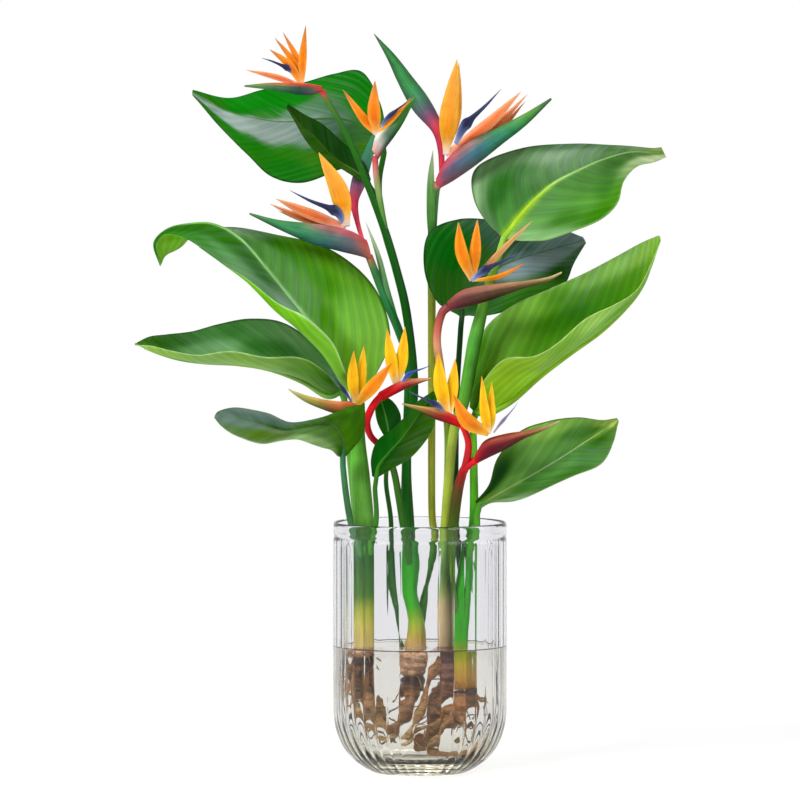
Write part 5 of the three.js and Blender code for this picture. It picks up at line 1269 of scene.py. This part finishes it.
# Crowns and roots, from the crown downward
ROOTS = {
    "roots_left": [
        dict(
            path=[[-57, 4, CROWN_TOP], [-57, 4, 116], [-57, 3, 104]], radii=[12, 12.4, 8.5],
            tones=[(0, "#b48e74"), (0.4, "#a88468"), (0.52, "#34201c"), (0.75, "#44291f"), (1, "#6a4a34")],
            side_roots=14,
        ),
        dict(
            path=[[-55, 2, 112], [-51, -4, 84], [-45, -10, 62], [-35, -13, 45], [-25, -15, 34]],
            radii=[4, 3.8, 3.6, 3.4, 2],
        ),
        dict(path=[[-63, 4, 113], [-71, 9, 92], [-71, 14, 70]], radii=[4, 3.2, 2]),
        dict(path=[[-58, 4, 108], [-58, 8, 86], [-51, 10, 64], [-44, 12, 45]], radii=[5, 4.4, 3.8, 2]),
        dict(path=[[-52, 6, 110], [-42, 4, 80], [-36, 6, 56], [-30, 12, 36]], radii=[4, 3.2, 3, 1.8]),
        dict(path=[[-60, 0, 110], [-65, -14, 90], [-59, -24, 62]], radii=[4, 3, 1.8]),
        dict(
            path=[[-60, 2, 108], [-66, -6, 86], [-60, -14, 62], [-48, -18, 44], [-34, -18, 32]],
            radii=[3.2, 2.8, 2.6, 2.4, 1.4],
        ),
        dict(
            path=[[-54, 8, 110], [-48, 12, 88], [-46, 14, 66], [-38, 12, 46], [-24, 8, 34]],
            radii=[3, 2.8, 2.4, 2.2, 1.4],
        ),
    ],
    "roots_centre": [
        dict(
            path=[[-4, 6, CROWN_TOP], [-4, 6, 112], [-6, 6, 97], [-8, 5, 84], [-9, 3, 70], [-19, 0, 48],
                [-30, -3, 36]],
            radii=[12, 11.6, 9, 7.6, 6.8, 6, 3], side_roots=7,
            tones=[(0, "#a8865c"), (0.06, "#b89478"), (0.24, "#ac886a"), (0.29, "#3a2420"),
                (0.38, "#4a3024"), (0.45, "#7c5636"), (1, "#8a6440")],
        ),
        dict(path=[[-8, 8, 92], [-18, 16, 72], [-20, 26, 44]], radii=[4, 3.2, 2]),
    ],
    "roots_right": [
        dict(
            path=[[24, 2, CROWN_TOP], [24, 2, 102], [20, 1, 83], [14, -2, 66], [10, -6, 48]],
            radii=[9, 8.8, 8, 7, 4], side_roots=7,
            tones=[(0, "#38222c"), (0.1, "#4a3034"), (0.18, "#74504a"), (0.6, "#7a543c"), (1, "#7c5a3c")],
        ),
        dict(
            path=[[42, -2, RIGHT_CROWN_TOP], [42, -2, 76], [32, -4, 60], [20, -6, 46], [8, -7, 34],
                [-3, -9, 24]],
            radii=[11.5, 11, 9.6, 8.8, 7.6, 3.5], side_roots=9,
            tones=[(0, "#3c241c"), (0.08, "#44291c"), (0.14, "#8a5c34"), (0.6, "#94683c"), (1, "#8a6440")],
        ),
        dict(path=[[20, -2, 116], [9, -14, 93], [0, -19, 63], [-13, -20, 34]], radii=[4, 3.6, 3.6, 2.2]),
        dict(path=[[40, 2, 76], [40, 12, 56], [34, 18, 38]], radii=[4, 3.8, 2.4]),
        dict(path=[[46, -4, 77], [54, -8, 77], [61, -9, 72]], radii=[3.6, 2.8, 1.8]),
        dict(path=[[-2, -12, 35], [18, -22, 20], [46, -26, 20], [66, -20, 33]], radii=[4, 4.2, 3.6, 2]),
        dict(path=[[34, -6, 64], [44, -22, 46], [40, -34, 32]], radii=[4, 3.2, 2]),
        dict(path=[[30, -6, 66], [26, -16, 52], [16, -24, 36], [4, -28, 26]], radii=[3.4, 3, 2.6, 1.6]),
        dict(path=[[50, 2, 78], [56, 8, 62], [50, 14, 44], [38, 14, 28]], radii=[3, 2.8, 2.4, 1.6]),
        dict(
            path=[[14, -4, 70], [22, -14, 62], [14, -20, 50], [0, -24, 44], [-14, -24, 30]],
            radii=[2.6, 2.4, 2.2, 2, 1.2],
        ),
    ],
}


# Flower stalks, flower heads and roots

def stalk(name, shape):
    """A flower stalk, with the branch that carries a second head."""
    form = Form(name, "stalk", [stalk_skin])
    for path, radii, tones in (("main", "radii", "tones"), ("branch", "branchRadii", "branchTones")):
        if path in shape:
            shares = np.linspace(0, 1, 12 * len(shape[path]))
            tube(form, run(shape[path], shares), smooth(shape[radii], shares), ramp(shape[tones], shares))
    for sheath in shape.get("sheaths", ()):
        tongue(form, sheath["path"], sheath["width"], SHEATH_OUTLINE, [(0, sheath["tones"])])
    piece = form.finished()
    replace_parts(piece, name)


SPATHE_SWELL = [0.45, 0.85, 1.0, 0.8, 0.5, 0.06]
SPATHE_SECTION = [
    (-1.0, 0.15), (-0.82, 0.66), (-0.42, 1.0), (-0.24, 0.72), (0, 0.3), (0.24, 0.72), (0.42, 1.0),
    (0.82, 0.66), (1.0, 0.15), (0.92, -0.3), (0.55, -0.76), (0, -1.0), (-0.55, -0.76), (-0.92, -0.3),
]


def spathe(head):
    """The boat-shaped bract: round sides, a keel and a furrow between two thin lips."""
    name = f"spathe_{head['number']}"
    form = Form(name, "spathe", [spathe_leather])
    shape = head["spathe"]
    t = np.linspace(0, 1, 56)
    lips = run(shape["lips"], t)
    keel = run(shape["keel"], t)
    along = unit(directions(lips) + directions(keel))
    up = unit(lips - keel)
    side = unit(np.cross(up, along))
    half_height = np.linalg.norm(lips - keel, axis=1)[:, None, None] / 2
    half_width = (shape["swell"] * smooth(SPATHE_SWELL, t) + 0.3)[:, None, None]
    loop = smooth(SPATHE_SECTION + SPATHE_SECTION[:1], np.linspace(0, 1, 56, endpoint=False))
    x, h = loop[:, 0], loop[:, 1]
    rings = ((lips + keel) / 2)[:, None] + (
        side[:, None] * half_width * x[None, :, None] + up[:, None] * half_height * h[None, :, None])
    tints = rows_of_tones(head["skin"], t, h)
    form.loft(
        rings, tints,
        (length_along(lips)[:, None] * MM, h * half_height[..., 0] * MM, h + 0 * t[:, None]))
    for extra in head.get("bracts", ()):
        tongue(form, extra["path"], extra["width"], BRACT_OUTLINE, extra["tones"])
    piece = form.finished()
    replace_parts(piece, name)


BRACT_OUTLINE = [0.28, 0.35, 0.62, 1.0, 0.78, 0.44, 0.03]
PETAL_OUTLINE = [0.5, 0.66, 0.9, 1.1, 0.62, 0.42, 0.3, 0.17, 0.03]
SHEATH_OUTLINE = [0.55, 0.9, 0.9, 0.6, 0.04]


def tongue(form, path, width, outline, tones, keel=0.16):
    """A keeled blade along a short curve, thin at its margins and drawn out to a point."""
    t = np.linspace(0, 1, 34)
    centre = run(path, t)
    along = directions(centre)
    side = unit(np.cross(np.array([0, -1, 0.1]), along))
    normal = unit(np.cross(along, side))
    half_width = smooth(outline, t) * width / 2
    x = -np.cos(np.linspace(0, math.pi, 13))
    crown = (keel * width * np.sin(math.pi * np.clip(t, 0.02, 1)))[:, None] * (1 - np.abs(x) ** 1.3)[None, :]
    thick = 0.22 + 0.34 * (1 - x ** 2)[None, :] * np.sin(math.pi * np.clip(t + 0.12, 0, 1))[:, None]
    sheet = (
        centre[:, None] + side[:, None] * (half_width[:, None] * x)[..., None]
        + normal[:, None] * crown[..., None])
    top = sheet + normal[:, None] * thick[..., None]
    bottom = sheet - normal[:, None] * thick[..., None]
    tint = rows_of_tones(tones, t, np.abs(x))
    u = length_along(centre)[:, None] + 0 * x
    across = half_width[:, None] * x
    folded = [np.concatenate([part, part[:, ::-1]], axis=1) for part in (u * MM, across * MM, 0 * u + x)]
    form.loft(
        np.concatenate([top, bottom[:, ::-1]], axis=1),
        np.concatenate([tint, 0.92 * tint[:, ::-1]], axis=1), folded)


def flower(head):
    """The sepals and the blue arrow petal that stand out of a spathe."""
    number = head["number"]
    sepals = Form(f"sepals_{number}", head["sepalSlot"], [sepal_satin])
    for sepal in head["sepals"]:
        path = [head["sepalBase"], *sepal["path"]]
        tongue(
            sepals, path, sepal["width"], sepal.get("outline", SEPAL_OUTLINE),
            sepal.get("tones", head["sepalTones"]))
    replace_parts(sepals.finished(), f"sepals_{number}")
    petal = Form(f"petals_{number}", "petal", [petal_velvet])
    tongue(petal, head["petal"]["path"], head["petal"]["width"], PETAL_OUTLINE, head["petalTones"], keel=0.2)
    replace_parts(petal.finished(), f"petals_{number}")


def clump(name, strands, seed):
    """A crown and its fleshy roots, knotted and ringed, with thin side roots."""
    form = Form(name, "root", [root_cork])
    luck = random.Random(seed)
    for strand in strands:
        path = run(strand["path"], np.linspace(0, 1, 16 * len(strand["path"])))
        gone = length_along(path)
        radii = smooth(strand["radii"], np.linspace(0, 1, len(path)))
        wave = [luck.uniform(0, ANY_START) for _ in range(4)]
        knots = 1 + FINE_KNOT * np.sin(gone / 1.3 + wave[0]) + LONG_KNOT * np.sin(gone / 4.1 + wave[1])
        sway = np.stack([np.sin(gone / 9 + wave[2]), np.cos(gone / 11 + wave[3]), 0 * gone], axis=-1)
        calm = np.clip(gone / 12, 0, 1)[:, None]
        centres = path + sway * calm * radii[:, None] * ROOT_SWAY
        tones = strand.get("tones", ROOT_TONES)
        ringed = 1 - RING_DARK * np.clip(2.4 * np.sin(gone / 1.9 + 2 * np.sin(gone / 7)) - 1.4, 0, 1)
        tube(form, centres, radii * knots, ramp(tones, gone / gone[-1]) * ringed[:, None], around=22)
        for _ in range(strand.get("side_roots", 5)):
            start = luck.randint(len(path) // 4, len(path) - 4)
            side_root(form, centres[start], radii[start], luck)
    piece = form.finished()
    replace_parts(piece, name)


def side_root(form, start, radius, luck):
    """A thread-like root that leaves a thicker one and bends down."""
    turn = luck.uniform(0, 2 * math.pi)
    out = np.array([math.cos(turn), math.sin(turn), 0])
    long = luck.uniform(9, 24)
    drop = np.array([0, 0, -long * luck.uniform(0.4, 0.9)])
    path = [start, start + out * (radius + 2), start + out * (radius + long * 0.4) + drop * 0.4,
            start + out * (radius + long * 0.55) + drop]
    floor = FLOOR_THICKNESS + 4
    path = [np.array([p[0], p[1], max(p[2], floor)]) for p in path]
    shares = np.linspace(0, 1, 16)
    tube(form, smooth(path, shares), 0.75 - 0.45 * shares, ramp(SIDE_ROOT_TONES, shares), around=7)


# The studio: a pale floor, a soft white room and large soft lamps

def stage():
    """A round pale floor that the vase stands on."""
    shell = bmesh.new()
    bmesh.ops.create_circle(shell, cap_ends=True, segments=96, radius=1.6)
    mesh = bpy.data.meshes.new("floor")
    shell.to_mesh(mesh)
    shell.free()
    floor = bpy.data.objects.new("floor", mesh)
    bpy.context.scene.collection.objects.link(floor)
    paper, shader = blank_material("white_paper", Roughness=0.9, Emission_Strength=0.52)
    shader.inputs["Base Color"].default_value = (0.5, 0.5, 0.5, 1)
    shader.inputs["Emission Color"].default_value = (1, 1, 1, 1)
    mesh.materials.append(paper)
    # Half a millimetre down, out of the plane of the vase's foot
    floor.location.z = -0.0005


def room():
    """White behind the object. Through the glass, and in mirror reflections that turn away from the camera,
    it is white with dark flags at the sides. All else is lit by a dimmer room that is brighter above."""
    world = bpy.data.worlds.new("studio")
    bpy.context.scene.world = world
    world.use_nodes = True
    tree = world.node_tree
    tree.nodes.clear()
    direction = add(tree, "ShaderNodeTexCoord")
    axes = add(tree, "ShaderNodeSeparateXYZ", {0: direction.outputs["Generated"]})
    sideways = add(tree, "ShaderNodeMath", {0: axes.outputs["X"]}, operation="ABSOLUTE")
    flags = add(
        tree, "ShaderNodeValToRGB", {0: sideways.outputs[0]},
        stops=((0.0, 1.0), (0.7, 0.94), (0.86, 0.55), (0.95, 0.4), (0.985, 1.0)))
    above = add(
        tree, "ShaderNodeMapRange",
        {"Value": axes.outputs["Z"], "From Min": -0.4, "From Max": 0.9, "To Min": 0.22, "To Max": 0.55})
    beyond = add(tree, "ShaderNodeBackground", {"Color": flags.outputs[0], "Strength": 1.0})
    plain = add(tree, "ShaderNodeBackground", {"Color": (1, 1, 1, 1), "Strength": 1.0})
    ray = add(tree, "ShaderNodeLightPath")
    glint = add(
        tree, "ShaderNodeMath", {0: ray.outputs["Is Singular Ray"], 1: GLINT_LIGHT}, operation="MULTIPLY")
    ahead = add(tree, "ShaderNodeMath", {0: glint.outputs[0], 1: above.outputs[0]}, operation="MAXIMUM")
    light = add(tree, "ShaderNodeBackground", {"Color": (1, 1, 1, 1), "Strength": ahead.outputs[0]})
    backward = add(tree, "ShaderNodeMath", {0: axes.outputs["Y"], 1: 0.0}, operation="GREATER_THAN")
    turned_back = add(
        tree, "ShaderNodeMath", {0: ray.outputs["Is Singular Ray"], 1: backward.outputs[0]},
        operation="MULTIPLY")
    clear = add(
        tree, "ShaderNodeMath", {0: ray.outputs["Is Transmission Ray"], 1: turned_back.outputs[0]},
        operation="MAXIMUM")
    through = add(
        tree, "ShaderNodeMixShader", {0: clear.outputs[0], 1: light.outputs[0], 2: beyond.outputs[0]})
    mixed = add(
        tree, "ShaderNodeMixShader",
        {0: ray.outputs["Is Camera Ray"], 1: through.outputs[0], 2: plain.outputs[0]})
    output = add(tree, "ShaderNodeOutputWorld")
    tree.links.new(mixed.outputs[0], output.inputs["Surface"])


def lamp(name, place, power, size, aim=(0, 0, 0.4)):
    """A large soft lamp that looks at the plant."""
    light = bpy.data.lights.new(name, "AREA")
    light.energy = power
    light.shape = "DISK"
    light.size = size
    holder = bpy.data.objects.new(name, light)
    holder.location = place
    holder.rotation_euler = (Vector(aim) - Vector(place)).to_track_quat("-Z", "Y").to_euler()
    bpy.context.scene.collection.objects.link(holder)


def camera():
    """A long lens that looks down by a few degrees, as the ellipse of the photographed rim asks for."""
    distance, rise = 10.0, math.radians(VIEW_RISE)
    aim = Vector((-0.020, 0, 0.373))
    lens = bpy.data.cameras.new("camera")
    lens.sensor_width = 36
    lens.lens = 36 * distance / 0.8
    lens.clip_end = 60
    holder = bpy.data.objects.new("camera", lens)
    holder.location = aim + Vector((0, -math.cos(rise), math.sin(rise))) * distance
    holder.rotation_euler = (aim - holder.location).to_track_quat("-Z", "Y").to_euler()
    bpy.context.scene.collection.objects.link(holder)
    bpy.context.scene.camera = holder


vase()
water()
for place, (name, shape) in enumerate(LEAVES.items()):
    leaf(name, shape, 100 + place)
for name, shape in STALKS.items():
    stalk(name, shape)
for head in HEADS:
    spathe(head)
    flower(head)
for place, (name, strands) in enumerate(ROOTS.items()):
    clump(name, strands, 300 + place)

stage()
room()
lamp("key", (-1.6, -2.2, 2.2), 72, 1.2)
lamp("fill", (2.2, -1.8, 1.2), 25, 1.4)
lamp("rim", (0.6, 2.2, 2.0), 24, 1.2)
camera()
bpy.context.scene.view_settings.view_transform = "Standard"
